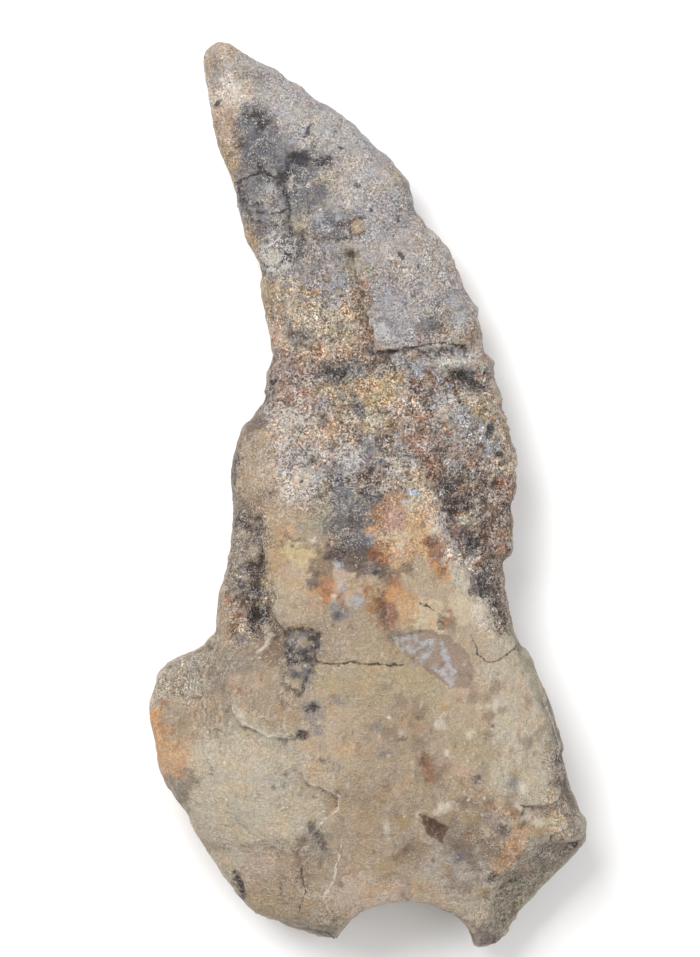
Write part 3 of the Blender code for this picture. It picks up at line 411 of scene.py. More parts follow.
        (-11.3, -5.8, 0.6, 0.8), (-12.1, -4.0, 0.5, 0.5), (-12.0, -8.4, 0.5, 0.4), (-11.5, -2.7, 0.4, 0.4),
        (-6.2, -14.7, 0.9, 0.5, 10), (-6.9, -17.1, 0.35, 0.5), (-7.4, -18.8, 0.6, 0.45, 20),
        (6.8, -25.2, 0.8, 0.8),
    ),
}

# narrow bands of one group: group, path, half width
STREAKS = (
    ("charcoal", ((-10.8, 32.9), (-9.6, 31.6), (-8.6, 31.6), (-7.9, 33.0), (-6.9, 34.0)), 0.28),
    ("charcoal", ((-6.9, 34.1), (-5.6, 33.6), (-4.9, 33.1), (-3.6, 33.6)), 0.38),
    ("charcoal", ((-8.1, 30.6), (-7.9, 28.6), (-7.5, 26.0)), 0.28),
    ("charcoal", ((-12.9, 31.0), (-12.2, 29.4), (-11.4, 27.6)), 0.2),
    ("charcoal", ((-11.4, 27.6), (-10.0, 27.0), (-8.4, 27.2)), 0.16),
    ("fleck", ((-6.3, 35.9), (-5.8, 36.3), (-5.6, 36.9)), 0.18),
    ("fleck", ((-8.0, 25.8), (-7.7, 24.6), (-8.0, 23.6), (-8.9, 22.9), (-10.2, 22.9)), 0.2),
    ("rim", ((-0.1, 27.3), (-0.85, 27.5), (-1.6, 27.0), (-1.6, 26.2), (-0.9, 25.8), (-0.1, 26.2)), 0.2),
    ("charcoal", ((-8.3, -13.6), (-6.7, -13.2), (-4.7, -13.8), (-5.1, -15.5), (-7.3, -15.8),
        (-8.2, -14.6)), 0.2),
    ("charcoal", ((-5.1, -15.5), (-5.2, -16.8), (-6.1, -18.2), (-6.7, -19.8), (-8.0, -19.2),
        (-8.3, -18.2)), 0.24),
    ("charcoal", ((-8.0, -15.6), (-7.6, -16.6), (-6.3, -16.4), (-5.6, -16.6)), 0.24),
    ("charcoal", ((-7.9, -17.9), (-7.0, -17.9), (-6.4, -18.4)), 0.14),
    ("charcoal", ((-13.1, -37.9), (-12.6, -39.2), (-12.2, -40.3)), 0.34),
    ("umber", ((-5.5, -32.6), (-4.9, -33.8), (-4.2, -35.0)), 0.42),
    ("shade", ((-6.4, -34.2), (-6.8, -36.0), (-6.4, -38.2)), 0.5),
    ("umber", ((11.4, -0.6), (12.4, -7.0), (13.8, -12.6), (14.9, -14.8)), 0.5),
    ("charcoal", ((-7.6, -43.2), (-5.4, -44.3), (-3.4, -44.6)), 0.25),
    ("cream", ((-10.1, -13.2), (-9.75, -14.0), (-9.9, -14.8), (-10.4, -15.4)), 0.24),
    ("umber", ((-9.5, -13.6), (-9.35, -14.6), (-9.9, -15.6)), 0.16),
    ("cream", ((-9.2, 22.9), (-8.4, 22.6), (-7.6, 23.6)), 0.16),
    ("umber", ((17.9, -19.4), (19.0, -23.6), (20.0, -27.4), (20.9, -31.0)), 0.45),
    ("charcoal", ((15.4, -38.4), (13.4, -39.8), (12.8, -41.4)), 0.14),
    ("quartz", ((2.8, -14.4), (4.6, -14.2), (5.6, -14.9)), 0.22),
    ("quartz", ((3.6, -15.2), (5.0, -15.4), (6.2, -14.6)), 0.22),
    ("quartz", ((5.4, -16.4), (6.4, -15.4), (6.6, -14.6)), 0.22),
    ("quartz", ((7.4, -14.8), (8.0, -16.2), (8.6, -17.4)), 0.22),
    ("quartz", ((6.8, -17.0), (7.8, -17.6), (8.4, -18.6)), 0.22),
)

# areas of one group with a drawn outline
REGIONS = (
    ("rim", ((5.1, -31.6), (6.6, -32.1), (8.2, -32.7), (7.9, -33.8), (7.3, -34.7), (6.1, -33.4))),
    ("chip", ((2.3, -13.8), (5.3, -13.4), (8.0, -13.8), (9.5, -15.0), (10.8, -17.4), (10.5, -19.4),
        (8.5, -19.1), (5.9, -17.4), (3.4, -15.4))),
)

# groups that scattered spots are drawn from
ROOT_GROUPS = ("dusk", "dusk", "peach", "ochre", "cream", "dusk", "dusk")
BACK_GROUPS = ("charcoal", "slate", "umber", "rust", "cream")
# scattered spots, first on the root's front and then on the back: seed, number, half widths, x, y, groups
SCATTERS = (
    (8, 110, (0.25, 0.9), (1.5, 17.5), (-41.0, -19.0), ROOT_GROUPS),
    (5, 90, (0.2, 1.1), (-19, 19), (-43, 43), BACK_GROUPS),
)

# group: colour, raggedness in millimetres, softness in millimetres, opacity
MARKS = (
    ("peach", (186, 158, 138), 0.9, 0.4, 0.6),
    ("ochre", (158, 134, 98), 0.9, 0.3, 0.75),
    ("smoke", (88, 88, 93), 1.5, 0.9, 0.8),
    ("shade", (84, 70, 63), 1.6, 0.8, 0.45),
    ("slate", (110, 111, 118), 1.3, 0.5, 0.7),
    ("rust", (144, 96, 64), 1.0, 0.35, 0.7),
    ("umber", (80, 66, 59), 1.0, 0.3, 0.75),
    ("pebble", (164, 146, 124), 0.4, 0.14, 0.8),
    ("orange", (176, 110, 48), 0.5, 0.15, 0.8),
    ("chip", (146, 126, 112), 0.2, 0.12, 0.8),
    ("quartz", (178, 181, 188), 0.8, 0.3, 0.75),
    ("cream", (206, 196, 178), 0.8, 0.25, 0.7),
    ("charcoal", (48, 45, 48), 0.6, 0.2, 0.9),
    ("rim", (86, 64, 48), 0.25, 0.12, 0.85),
    ("dusk", (122, 102, 86), 0.7, 0.35, 0.55),
    ("bead", (168, 142, 112), 0.2, 0.12, 0.85),
    ("fleck", (52, 55, 64), 0.25, 0.1, 0.9),
)
SPECKLED_MARKS = ("charcoal", "umber", "slate")

# thin lines of each kind: path, half width at its start and at its end
LINES = {
    "crack": (
        (((1.0, 14.2), (2.9, 14.3), (4.0, 14.6), (6.0, 14.9), (7.8, 15.05), (10.0, 14.9)), 0.17, 0.06),
        (((-13.0, 31.3), (-12.0, 31.6), (-10.6, 32.1), (-9.4, 31.6)), 0.1, 0.08),
        (((-5.0, -16.5), (-3.2, -16.9), (-1.6, -16.7), (0.4, -16.7), (3.4, -16.8)), 0.12, 0.07),
        (((10.3, -14.0), (10.9, -15.4), (11.1, -16.0), (12.1, -16.6)), 0.03, 0.08),
        (((12.1, -16.6), (13.4, -16.3), (14.5, -15.6), (15.0, -14.9)), 0.04, 0.06),
        (((-10.2, -8.7), (-9.4, -9.0), (-9.0, -10.0)), 0.08, 0.05),
        (((-10.9, 28.2), (-9.6, 28.0), (-8.2, 28.4)), 0.09, 0.07),
        (((5.4, -10.9), (6.1, -11.0), (6.6, -11.3)), 0.11, 0.05),
        (((-6.6, -37.0), (-6.0, -39.4), (-6.8, -41.6)), 0.04, 0.03),
    ),
    "vein_and_edge_highlight": (
        (((-7.9, 32.2), (-7.5, 31.4), (-7.7, 30.6)), 0.05, 0.04),
        (((-7.5, 32.3), (-7.1, 31.4), (-7.4, 30.6)), 0.05, 0.04),
        (((-2.5, -34.2), (-2.8, -36.0), (-3.1, -37.2), (-3.5, -38.8)), 0.08, 0.1),
        (((-3.5, -38.6), (-4.1, -39.9), (-4.0, -40.6), (-3.5, -41.6)), 0.1, 0.05),
        (((-2.1, 19.4), (-1.6, 19.0)), 0.07, 0.04), (((-4.9, 19.0), (-4.4, 18.5)), 0.07, 0.04),
        (((-9.8, 22.5), (-8.6, 22.4), (-7.6, 23.0), (-7.0, 24.2), (-7.1, 25.6)), 0.13, 0.08),
        (((0.7, 16.4), (1.2, 15.4), (2.2, 15.4), (2.4, 16.3), (1.6, 16.9), (0.7, 16.4)), 0.08, 0.08),
        (((-8.6, 27.4), (-9.4, 26.0), (-10.6, 25.4)), 0.07, 0.05),
        (((-0.4, 18.2), (0.2, 17.6), (0.3, 16.6)), 0.07, 0.04),
        # the last four run along the high edges of the steps and of the right plate, as painted highlights
        (((-13.3, -21.3), (-12.6, -22.55), (-11.2, -23.15), (-9.8, -23.95), (-7.1, -24.15)), 0.1, 0.06),
        (((-5.9, -28.6), (-4.4, -28.95), (-2.65, -29.8), (-2.8, -31.2), (-4.8, -32.6)), 0.05, 0.08),
        (((17.0, -31.1), (18.6, -30.8), (19.5, -29.8), (19.4, -27.6)), 0.12, 0.08),
        (((18.0, -21.0), (19.0, -24.8), (19.4, -27.6)), 0.08, 0.1),
    ),
}
LINE_END = 0.3  # length over which a line fades out past its ends
LINE_REACH = 0.6  # distance from a line where it starts to fade

# kind of line: colour, opacity
LINE_LOOKS = (
    ("crack", (62, 53, 47), 0.85),
    # pale veins, and painted highlights along step edges
    ("vein_and_edge_highlight", (214, 208, 198), 0.65),
)

# ---- relief ----
# steps of the broken surface: path with its high side on the left, drop, how far the low side stays low
LEDGES = (
    (((14.9, -15.2), (13.6, -12.6), (12.6, -11.0), (10.4, -9.6), (9.8, -6.3), (8.4, -4.0),
        (7.6, -1.0)), 0.3, 2.0),
    (((-10.4, -2.6), (-10.3, -5.6), (-9.9, -8.4), (-8.9, -10.3), (-9.2, -12.0), (-8.3, -13.4)), 0.28, 1.4),
    (((-1.3, 24.0), (-0.6, 20.5), (0.2, 17.6), (0.8, 14.4)), 0.22, 1.6),
    (((0.8, 14.3), (3.0, 14.2), (6.3, 14.7), (10.0, 14.9)), 0.3, 1.2),
    (((-13.3, -21.4), (-12.6, -22.7), (-11.2, -23.3), (-9.8, -24.1), (-8.4, -24.2),
        (-7.1, -24.3)), 0.15, 1.6),
    (((-7.0, -27.3), (-5.9, -28.8), (-4.4, -29.1), (-2.8, -29.9), (-3.0, -31.2), (-5.0, -32.8),
        (-6.7, -35.6)), 0.16, 1.8),
    (((-15.6, -34.8), (-13.0, -34.9), (-10.3, -34.9), (-6.8, -35.7)), 0.06, 1.6),
    (((15.9, -30.8), (17.6, -31.1), (19.0, -30.6), (19.6, -29.0), (19.2, -26.0)), 0.3, 2.0),
    (((12.8, -43.0), (12.9, -40.2), (13.5, -38.6), (16.1, -36.1), (17.6, -35.2), (20.6, -34.7)), 0.35, 3.0),
    (((-12.6, -41.4), (-9.6, -42.6), (-7.7, -43.1), (-3.4, -43.9)), 0.3, 2.0),
    (((-15.2, -15.2), (-16.2, -17.6), (-16.4, -20.2)), 0.3, 3.0),
    (((12.0, 12.0), (9.4, 12.4), (7.4, 12.2), (5.0, 12.9), (3.4, 12.9)), -0.16, 1.2),
    (((-8.4, -4.6), (-6.6, -5.0), (-5.0, -4.8)), 0.16, 1.6),
)
LEDGE_GAIN = 1.7  # how many times their drop the steps are made
LEDGE_WIDTH = 0.3  # width of the step itself
LEDGE_END = 0.8  # length over which a step dies out past its ends

# layers of the smooth surface that have flaked off, cut at these levels of a noise of -1 to 1
FLAKE_LEVELS = (-0.3, 0.05, 0.35)
FLAKE_HEIGHT = 0.13  # thickness of one layer
FLAKE_SIZE = 4.0
FLAKE_STRETCH = (1.0, 0.7, 1.0)  # the flakes are longer along the tooth
FLAKE_STEEPNESS = 14.0

CRACK_DEPTH = 0.16
CRACK_SPREAD = 1.6  # how wide a crack's groove is, in half widths of the crack

# group of marks: height it stands out by, length of its slope
MARK_HEIGHTS = (
    ("charcoal", -0.14, 0.4),
    ("umber", -0.05, 0.5),
    ("cream", 0.08, 0.3),
    ("chip", -0.12, 0.3),
)

# how rough the relief is for a share of grit: gain, start, most
ROUGHENING = (1.5, 0.3, 1.1)
PEBBLE_SIZE = 0.9
PEBBLE_HEIGHT = 0.1
PEBBLE_LEVEL = 0.4  # level of a pebble that neither rises nor sinks
PEBBLE_STEEPNESS = 1.6

# uneven surface: height everywhere, height added where it is rough, size, seed, octaves
UNEVENNESS = (
    (0.02, 0.1, 0.55, 51, 2),
    (0.05, 0.28, 1.5, 55, 3),
)

# raised (+) or sunk (-) spots: the spot, then its height
LUMPS = (
    (-11.3, -5.8, 0.7, 0.9, 0.5), (-12.1, -4.0, 0.6, 0.6, 0.4), (-11.4, -2.6, 0.5, 0.5, 0.25),
    (-12.4, -6.6, 0.5, 0.6, 0.25), (-12.0, -8.4, 0.6, 0.5, 0.3), (-12.8, -9.8, 0.6, 0.6, 0.25),
    (-11.2, -8.8, 0.6, 0.8, -0.3), (-10.9, -12.0, 0.8, 0.8, -0.4), (-9.9, -9.3, 0.7, 0.8, 0.2),
    (-0.85, 26.6, 0.7, 0.7, 0.2), (-2.7, 26.9, 0.35, 0.3, -0.12), (1.6, 16.1, 0.7, 0.6, -30, 0.22),
    (4.6, 13.9, 0.6, 0.4, 20, 0.2), (0.6, 7.3, 0.8, 0.4, 0.2), (-7.4, 4.0, 0.4, 0.4, -0.25),
    (-7.4, 4.0, 0.9, 0.8, 0.15), (-6.35, 5.3, 0.5, 0.4, 0.12), (9.4, -2.4, 1.2, 0.8, -15, 0.3),
    (7.5, -12.6, 0.5, 0.8, -0.2), (-13.0, -18.5, 0.9, 0.9, 0.12), (-12.6, -21.7, 0.5, 0.8, 0.15),
    (6.8, -25.2, 1.0, 0.8, 0.15), (6.8, -33.0, 1.1, 0.6, -42, -0.3), (7.8, -31.3, 1.2, 0.5, 20, 0.15),
    (-3.0, 12.1, 1.4, 0.6, -0.2), (10.4, 11.2, 1.5, 0.6, -20, -0.2), (12.4, 6.4, 0.4, 0.7, -0.35),
    (13.3, 4.1, 0.4, 0.3, -0.2), (3.5, 23.9, 0.4, 0.5, -0.15), (-12.5, -39.1, 0.3, 1.2, 12, -0.3),
    (-6.5, -23.9, 0.6, 0.4, -0.2), (-5.2, -21.2, 0.8, 0.5, -0.12), (3.4, -5.0, 0.5, 0.5, 0.1),
    (-9.9, -14.3, 0.3, 1.1, 10, 0.3), (19.3, -26.4, 0.4, 0.7, 15, -0.25),
    (19.5, -28.8, 0.35, 0.7, 15, -0.2), (18.2, -35.2, 1.0, 0.6, 10, -0.35),
    # broken outline
    (-16.3, 43.6, 0.8, 0.8, 0.1), (-9.7, 42.3, 0.8, 0.8, 0.15), (-6.8, 40.5, 0.7, 0.7, 0.2),
    (-3.3, 38.1, 0.8, 0.8, 0.2), (-1.6, 36.5, 0.6, 0.6, 0.2), (0.0, 35.8, 0.6, 0.6, 0.15),
    (2.0, 33.7, 0.7, 0.7, 0.2), (4.4, 30.4, 0.7, 0.7, -0.2), (5.2, 27.6, 0.8, 0.8, 0.3),
    (7.5, 25.5, 0.9, 0.8, -0.3), (9.0, 23.4, 0.6, 0.6, 0.15), (9.9, 20.2, 0.6, 0.6, -0.15),
    (11.0, 18.7, 0.6, 0.6, 0.2), (12.0, 14.4, 0.5, 0.5, -0.15), (12.8, 13.3, 0.5, 0.6, 0.2),
    (13.4, 10.0, 0.6, 0.6, 0.12), (14.9, 4.0, 0.6, 0.8, 0.15), (15.0, -1.4, 0.6, 0.6, -0.3),
    (14.9, -3.4, 0.5, 0.8, 0.25), (14.6, -5.4, 0.4, 0.5, 0.2), (-11.2, 23.4, 0.5, 0.6, 0.2),
    (-10.6, 22.0, 0.5, 0.5, -0.2), (-9.4, 14.0, 0.6, 0.8, -0.15), (-9.6, 11.3, 0.5, 0.5, -0.2),
    (-10.2, 9.9, 0.4, 0.4, -0.15), (-12.6, 6.8, 0.6, 0.6, 0.2), (-14.2, -9.8, 0.6, 1.2, 0.1),
    (-20.6, -17.6, 0.8, 0.8, 0.15), (-18.2, -31.8, 0.8, 0.8, -0.15), (-15.6, -36.0, 0.8, 0.8, 0.15),
    (21.4, -32.6, 0.7, 0.7, 0.2), (18.6, -38.2, 0.7, 0.7, 0.15),
)

# ---- areas of their own kind ----
COVER_FALLOFF = 1.2  # how fast they thin out from their middle

# a net of white mineral threads
CRUST = (
    (-9.0, 24.0, 1.6, 1.8), (-7.4, 4.4, 2.0, 2.6), (-6.4, 0.8, 1.7, 1.7), (-1.6, 3.9, 1.6, 1.3),
    (-6.4, 7.4, 2.0, 0.8), (-8.4, 9.0, 2.4, 1.2), (9.0, 13.6, 2.4, 0.7), (8.0, 8.8, 1.8, 1.0),
    (3.4, 3.0, 1.8, 1.0),
)

# fibrous dentine
FIBRES = (
    (-18.6, -19.0, 3.2, 3.6), (-15.6, -22.6, 2.4, 3.0), (16.8, -38.6, 4.0, 5.0), (20.2, -29.0, 1.4, 6.0),
)
FIBRE_TURN = 48.0

# ---- grain ----
# clumps of other tints: noise offset, noise level they start at, tint
CLUMPS = (
    (3.0, 0.52, (1.24, 0.84, 0.58)),
    (23.0, 0.54, (1.12, 1.0, 0.64)),
    (13.0, 0.52, (0.8, 0.95, 1.2)),
    (41.0, 0.54, (0.66, 0.58, 0.52)),
    (47.0, 0.54, (1.26, 1.22, 1.16)),
)

# sizes of the grain: width, offset, how strong its pale grains (white crystals with painted glints on the
# grain's tops) and its dark grains (dark specks with painted shade in its pits) are
GRAINS = (
    (0.5, 23.0, 0.2, 0.3),
    (0.24, 19.0, 0.9, 0.9),
    (0.15, 151.0, 0.7, 0.6),
)

# ticks: size, offset, colour, opacity
TICKS = (
    (0.3, 93.0, (236, 226, 214), 0.35),
    (0.3, 97.0, (56, 44, 40), 0.6),
    (0.18, 131.0, (252, 246, 238), 0.75),
    (0.18, 137.0, (56, 42, 38), 0.8),
)

# hair-fine lines: width of their bends, offset, colour, half width, how rough the surface has to be
HAIRS = (
    (0.6, 29.0, (240, 236, 230), 0.03, (0.3, 0.8)),
    (1.3, 107.0, (58, 50, 46), 0.012, (0.05, 0.3)),
    (1.0, 113.0, (226, 218, 208), 0.012, (0.05, 0.3)),
)

# specks: offset, how far apart they are, colour
SPECKS = (
    (71.0, 1.9, (78, 68, 64)),
    (83.0, 2.6, (146, 104, 72)),
    (121.0, 1.6, (222, 208, 186)),
    (127.0, 3.4, (104, 92, 88)),
)

# crumbs: size, offset, strength
CRUMBS = (
    (0.95, 161.0, 0.5),
    (0.5, 167.0, 0.25),
)
BUMP_HEIGHT = 0.07  # height of the finest grain, which is only shaded

# pale grains on the grain's tops are white crystals and painted glints; dark grains in its pits are dark
# specks and painted shade
WHITE_GRAIN_AND_GLINT = (250, 240, 228)
PALE_GRAIN_AND_GLINT_TINT = (1.75, 1.72, 1.7)
DARK_GRAIN_AND_PIT_SHADE_TINT = (0.34, 0.29, 0.27)
DARK_CRUMB_TINT = (0.72, 0.66, 0.64)
PALE_CRUMB_TINT = (1.42, 1.4, 1.37)
# painted shade in the gaps between crumbs
CRUMB_GAP_SHADE_TINT = (0.6, 0.54, 0.5)
# painted shade in a ring at the foot of each raised pebble
PEBBLE_FOOT_SHADE_TINT = (0.5, 0.45, 0.42)
PEBBLES = ((178, 158, 134), (150, 146, 148))
THREAD = (238, 233, 226)
# dark colour mixed in by how deep a hollow is: painted shade, and dirt in the hollows
HOLLOW_SHADE_AND_DIRT = (66, 54, 48)
# pale colour mixed in on ridges, paler the sharper the ridge
RIDGE_PALE_TONE = (208, 198, 184)

# ---- the sheet that carries the colours ----
MAP_SPLIT = 7.0  # height where its front and back meet
MAP_TOP = 15.0  # height down from which the front's sides open out
MAP_OPENING = 0.7  # how far they open out for each millimetre down
MAP_SMOOTHING = 25
# the middle of the tooth, as (y, x)
MAP_SPINE = ((-26.0, -1.5), (0.0, -1.0), (20.0, -3.5), (36.0, -9.0))
MAP_CORE = 3.0  # distance from the spine where the sides start to open out in full
MAP_SHEET = (103.4, 100.4)
MAP_FRONT_CENTRE = (28.5, 51.3)
MAP_BACK_TURN = (1.0, -1.0)
MAP_BACK_CENTRE = (75.6, 49.0)

# ---- camera, floor and light ----
CAMERA_CENTRE = (-1.65, 1.6)
CAMERA_DISTANCE = 1000.0
CAMERA_CLIP = (0.01, 10.0)  # metres
FRAME_HEIGHT = 95.7
FOCUS_HEIGHT = 7.0
SENSOR = 36.0
FLOOR_REACH = 0.6  # metres
FLOOR_COLOUR = (0.97, 0.97, 0.97, 1.0)  # linear
WORLD_STRENGTH = 0.53
# lights: name, place and size in metres, power in watts, linear colour
SOFTBOXES = (
    ("key", (-0.26, 0.30, 0.60), 0.40, 4.75, (1.0, 0.99, 0.98)),
    ("fill", (0.5, -0.1, 0.55), 0.7, 2.1, (0.99, 0.99, 1.0)),
)


def linear(colour):
    """sRGB of 0 to 255 as linear RGBA."""
    parts = [channel / 255 for channel in colour]
    return tuple(c / 12.92 if c <= 0.04045 else ((c + 0.055) / 1.055) ** 2.4 for c in parts) + (1.0,)


def smooth_step(value):
    """0 below 0, 1 above 1, and an S-curve between."""
    held = np.clip(value, 0.0, 1.0)
    return held * held * (3.0 - 2.0 * held)


def lumps_noise(points, size, seed, octaves=1):
    """Smooth noise of about -1 to 1 whose lumps have the given size."""
    shift = Vector((seed * 17.3, seed * 9.1, seed * 5.7))
    return np.array([noise.fractal(Vector(p) / size + shift, 1.0, 2.0, octaves) for p in points])


def pebble_noise(points, size, seed):
    """Rounded pebbles: 1 at the middle of each and 0 where they meet."""
    shift = Vector((seed * 11.9, seed * 3.7, seed * 8.3))
    near = np.array([noise.voronoi(Vector(p) / size + shift)[0][:2] for p in points])
    return np.clip((near[:, 1] - near[:, 0]) * PEBBLE_STEEPNESS, 0.0, 1.0)


def oval(x, y, spot):
    """1 at a spot's edge, below 1 inside it and above 1 outside."""
    centre_x, centre_y, half_width, half_height, *turn = spot
    angle = math.radians(turn[0] if turn else 0)
    dx, dy = x - centre_x, y - centre_y
    along = (dx * math.cos(angle) + dy * math.sin(angle)) / half_width
    across = (dy * math.cos(angle) - dx * math.sin(angle)) / half_height
    return np.sqrt(along**2 + across**2)


def to_path(x, y, path):
    """Distance to the path, positive on its right; share walked; how far past its ends each point lies."""
    lengths = [math.dist(*ends) for ends in zip(path, path[1:])]
    best = np.full(x.shape, np.inf)
    signed, walked, past_end = np.zeros((3, len(x)))
    before = 0.0
    for index, (start, end) in enumerate(zip(path, path[1:])):
        ux, uy = (end[0] - start[0]) / lengths[index], (end[1] - start[1]) / lengths[index]
        along = (x - start[0]) * ux + (y - start[1]) * uy
        held = np.clip(along, 0.0, lengths[index])
        away = np.hypot(x - start[0] - held * ux, y - start[1] - held * uy)
        side = (x - start[0]) * uy - (y - start[1]) * ux
        nearer = away < best
        early = -along if index == 0 else 0.0
        late = along - lengths[index] if index == len(lengths) - 1 else 0.0
        best = np.where(nearer, away, best)
        signed = np.where(nearer, np.copysign(away, side), signed)
        walked = np.where(nearer, (before + held) / sum(lengths), walked)
        past_end = np.where(nearer, np.maximum(np.maximum(early, late), 0.0), past_end)
        before += lengths[index]
    return signed, walked, past_end


def inside_outline(x, y, outline):
    """Distance to a closed outline, positive inside."""
    away = np.abs(to_path(x, y, outline + outline[:1])[0])
    inside = np.zeros(len(x), bool)
    for (x1, y1), (x2, y2) in zip(outline, outline[1:] + outline[:1]):
        if y1 != y2:
            inside ^= ((y1 > y) != (y2 > y)) & (x < (x2 - x1) * (y - y1) / (y2 - y1) + x1)
    return np.where(inside, away, -away)


def read(collection, name, width=1, kind=float):
    """A property of every item of a mesh, as an array with a column for each value."""
    flat = np.empty(len(collection) * width, kind)
    collection.foreach_get(name, flat)
    return flat.reshape(-1, width)


class Surface:
    """Points of the piece's mesh in millimetres, with what its fields need to know about them."""

    def __init__(self, mesh):
        self.mesh = mesh
        self.points = read(mesh.vertices, "co", 3) / MM
        self.ends = read(mesh.edges, "vertices", 2, np.int64)
        self.degree = np.bincount(self.ends.ravel(), minlength=len(mesh.vertices))[:, None]

    def around(self, values):
        """Mean of each point's neighbours, for an array with a column for each value."""
        a, b = self.ends.T
        total = np.zeros_like(values)
        for column in range(values.shape[1]):
            total[:, column] = np.bincount(a, values[b, column], len(values))
            total[:, column] += np.bincount(b, values[a, column], len(values))
        return total / self.degree

    def rounded(self, passes):
        """The points, each moved to the mean of its neighbours again and again."""
        points = self.points
        for _ in range(passes):
            points = self.around(points)
        return points

    def smooth(self, passes):
        """Even out the faces' steps: shrink a little, then grow back by a little more."""
        for _ in range(passes):
            self.points += SMOOTH_SHRINK * (self.around(self.points) - self.points)
            self.points -= SMOOTH_GROW * (self.around(self.points) - self.points)

    def store(self):
        """Put the points back into the mesh, none of them under the floor."""
        self.points[:, 2] = np.maximum(self.points[:, 2], 0.0)
        self.mesh.vertices.foreach_set("co", (self.points * MM).ravel())
        self.mesh.update()

    def normals(self):
        return read(self.mesh.vertex_normals, "vector", 3)

    def keep(self, name, values):
        """Store a number or a colour for each point under a name that the material reads."""
        kind, key = ("FLOAT_COLOR", "color") if values.ndim == 2 else ("FLOAT", "value")
        attribute = self.mesh.attributes.new(name, kind, "POINT")
        attribute.data.foreach_set(key, values.astype(np.float32).ravel())


def fine_copy(node):
    """A new object with a CAD node's shape in small even faces, smaller still on the front."""
    bm = bmesh.new()
    bm.from_mesh(node.data)
    bmesh.ops.remove_doubles(bm, verts=bm.verts, dist=MERGE_DISTANCE * MM)
    mesh = bpy.data.meshes.new(PIECE)
    bm.to_mesh(mesh)
    bm.free()
    piece = bpy.data.objects.new(PIECE, mesh)
    bpy.context.scene.collection.objects.link(piece)
    remesh = piece.modifiers.new("even faces", "REMESH")
    remesh.mode = "VOXEL"
    remesh.voxel_size = VOXEL * MM
    remesh.use_smooth_shade = True
    even = bpy.data.meshes.new_from_object(piece.evaluated_get(bpy.context.evaluated_depsgraph_get()))
    piece.modifiers.clear()
    piece.data = even
    split_front(even)
    return piece


def split_front(mesh):
    """Halve the faces that are seen from above."""
    bm = bmesh.new()
    bm.from_mesh(mesh)
    edges = {edge for face in bm.faces if face.normal.z > FACES_UP for edge in face.edges}
    bmesh.ops.subdivide_edges(bm, edges=list(edges), cuts=1, use_grid_fill=True)
    bm.to_mesh(mesh)
    bm.free()
    mesh.shade_smooth()


def front_share(points):
    """1 on the front, 0 on the back, and between along the side edges."""
    edge = np.interp(points[:, 1], *zip(*EDGE_HEIGHT))
    return smooth_step((points[:, 2] - edge) / FRONT_BLEND + FRONT_BLEND_BELOW)


def toned_down(front, back_share):
    """1 on the front, the given share on the back."""
    return back_share + (1 - back_share) * front


def warped(points, wide, fine, seed):
    """x and y of each point, shifted by noise so that drawn edges turn ragged."""
    places = []
    for way in (0, 1):
        shift = wide * lumps_noise(points, WARP_WIDE, seed + way)
        shift += fine * lumps_noise(points, WARP_FINE, seed + way + 2, 2)
        places.append(points[:, way] + shift)
    return places


def blended(x, y, rows, base, base_share):
    """Values of the rows, shared out by how near each point is to each row's spot. A row is (value, spot)."""
    total = np.full((len(x), len(base)), base_share) * np.array(base)
    weights = np.full(len(x), base_share)
    for value, spot in rows:
        share = np.exp(-BLEND_FALLOFF * oval(x, y, spot) ** 2)
        total += share[:, None] * np.array(value)
        weights += share
    return total / weights[:, None]


def ground_colour(surface, front):
    """Broad colour of every point."""
    x, y = warped(surface.points, wide=0.4, fine=0.9, seed=3)
    sides = []
    for tones in (FRONT_TONES, BACK_TONES):
        rows = [(linear(SRGB[name]), spot) for name, spots in tones.items() for spot in spots]
        sides.append(blended(x, y, rows, linear(SRGB["tan"]), TONE_BASE_SHARE))
    return sides[1] + (sides[0] - sides[1]) * front[:, None]


def grit_share(surface, front):
    """How rough and speckled each point is, 0 to 1."""
    x, y = warped(surface.points, wide=0.8, fine=0.3, seed=9)
    rows = [((share,), spot) for share, *spot in GRIT]
    return blended(x, y, rows, (GRIT_BASE,), GRIT_BASE_SHARE)[:, 0] * toned_down(front, BACK_GRIT)


def cover(x, y, spots):
    """How much each point is covered by any of the spots, 0 to 1."""
    return np.max([np.exp(-COVER_FALLOFF * oval(x, y, spot) ** 2) for spot in spots], axis=0)


def group_fields(surface, front):
    """For each group of marks, how far inside a mark each point is, in millimetres, negative outside."""
    x, y = warped(surface.points, wide=0.3, fine=0.24, seed=21)
    fields = {mark[0]: np.full(len(x), -FIELD_REACH) for mark in MARKS}

    def add(group, inside, side):
        held = np.clip(inside, -FIELD_REACH, FIELD_REACH)
        fields[group] = np.maximum(fields[group], (held + FIELD_REACH) * side - FIELD_REACH)

    def add_spot(group, spot, side):
        add(group, (1 - oval(x, y, spot)) * min(spot[2:4]), side)

    for group, spots in PATCHES.items():
        for spot in spots:
            add_spot(group, spot, front)
    for group, path, half_width in STREAKS:
        add(group, half_width - np.abs(to_path(x, y, path)[0]), front)
    for group, outline in REGIONS:
        add(group, inside_outline(x, y, outline), front)
    for (seed, count, sizes, across, along, groups), side in zip(SCATTERS, (front, 1 - front)):
        chance = random.Random(seed)
        for _ in range(count):
            size = chance.uniform(*sizes)
            centre = chance.uniform(*across), chance.uniform(*along)
            spot = (*centre, size, size * chance.uniform(0.4, 1.0), chance.uniform(0, 180))
            add_spot(chance.choice(groups), spot, side)
    return fields


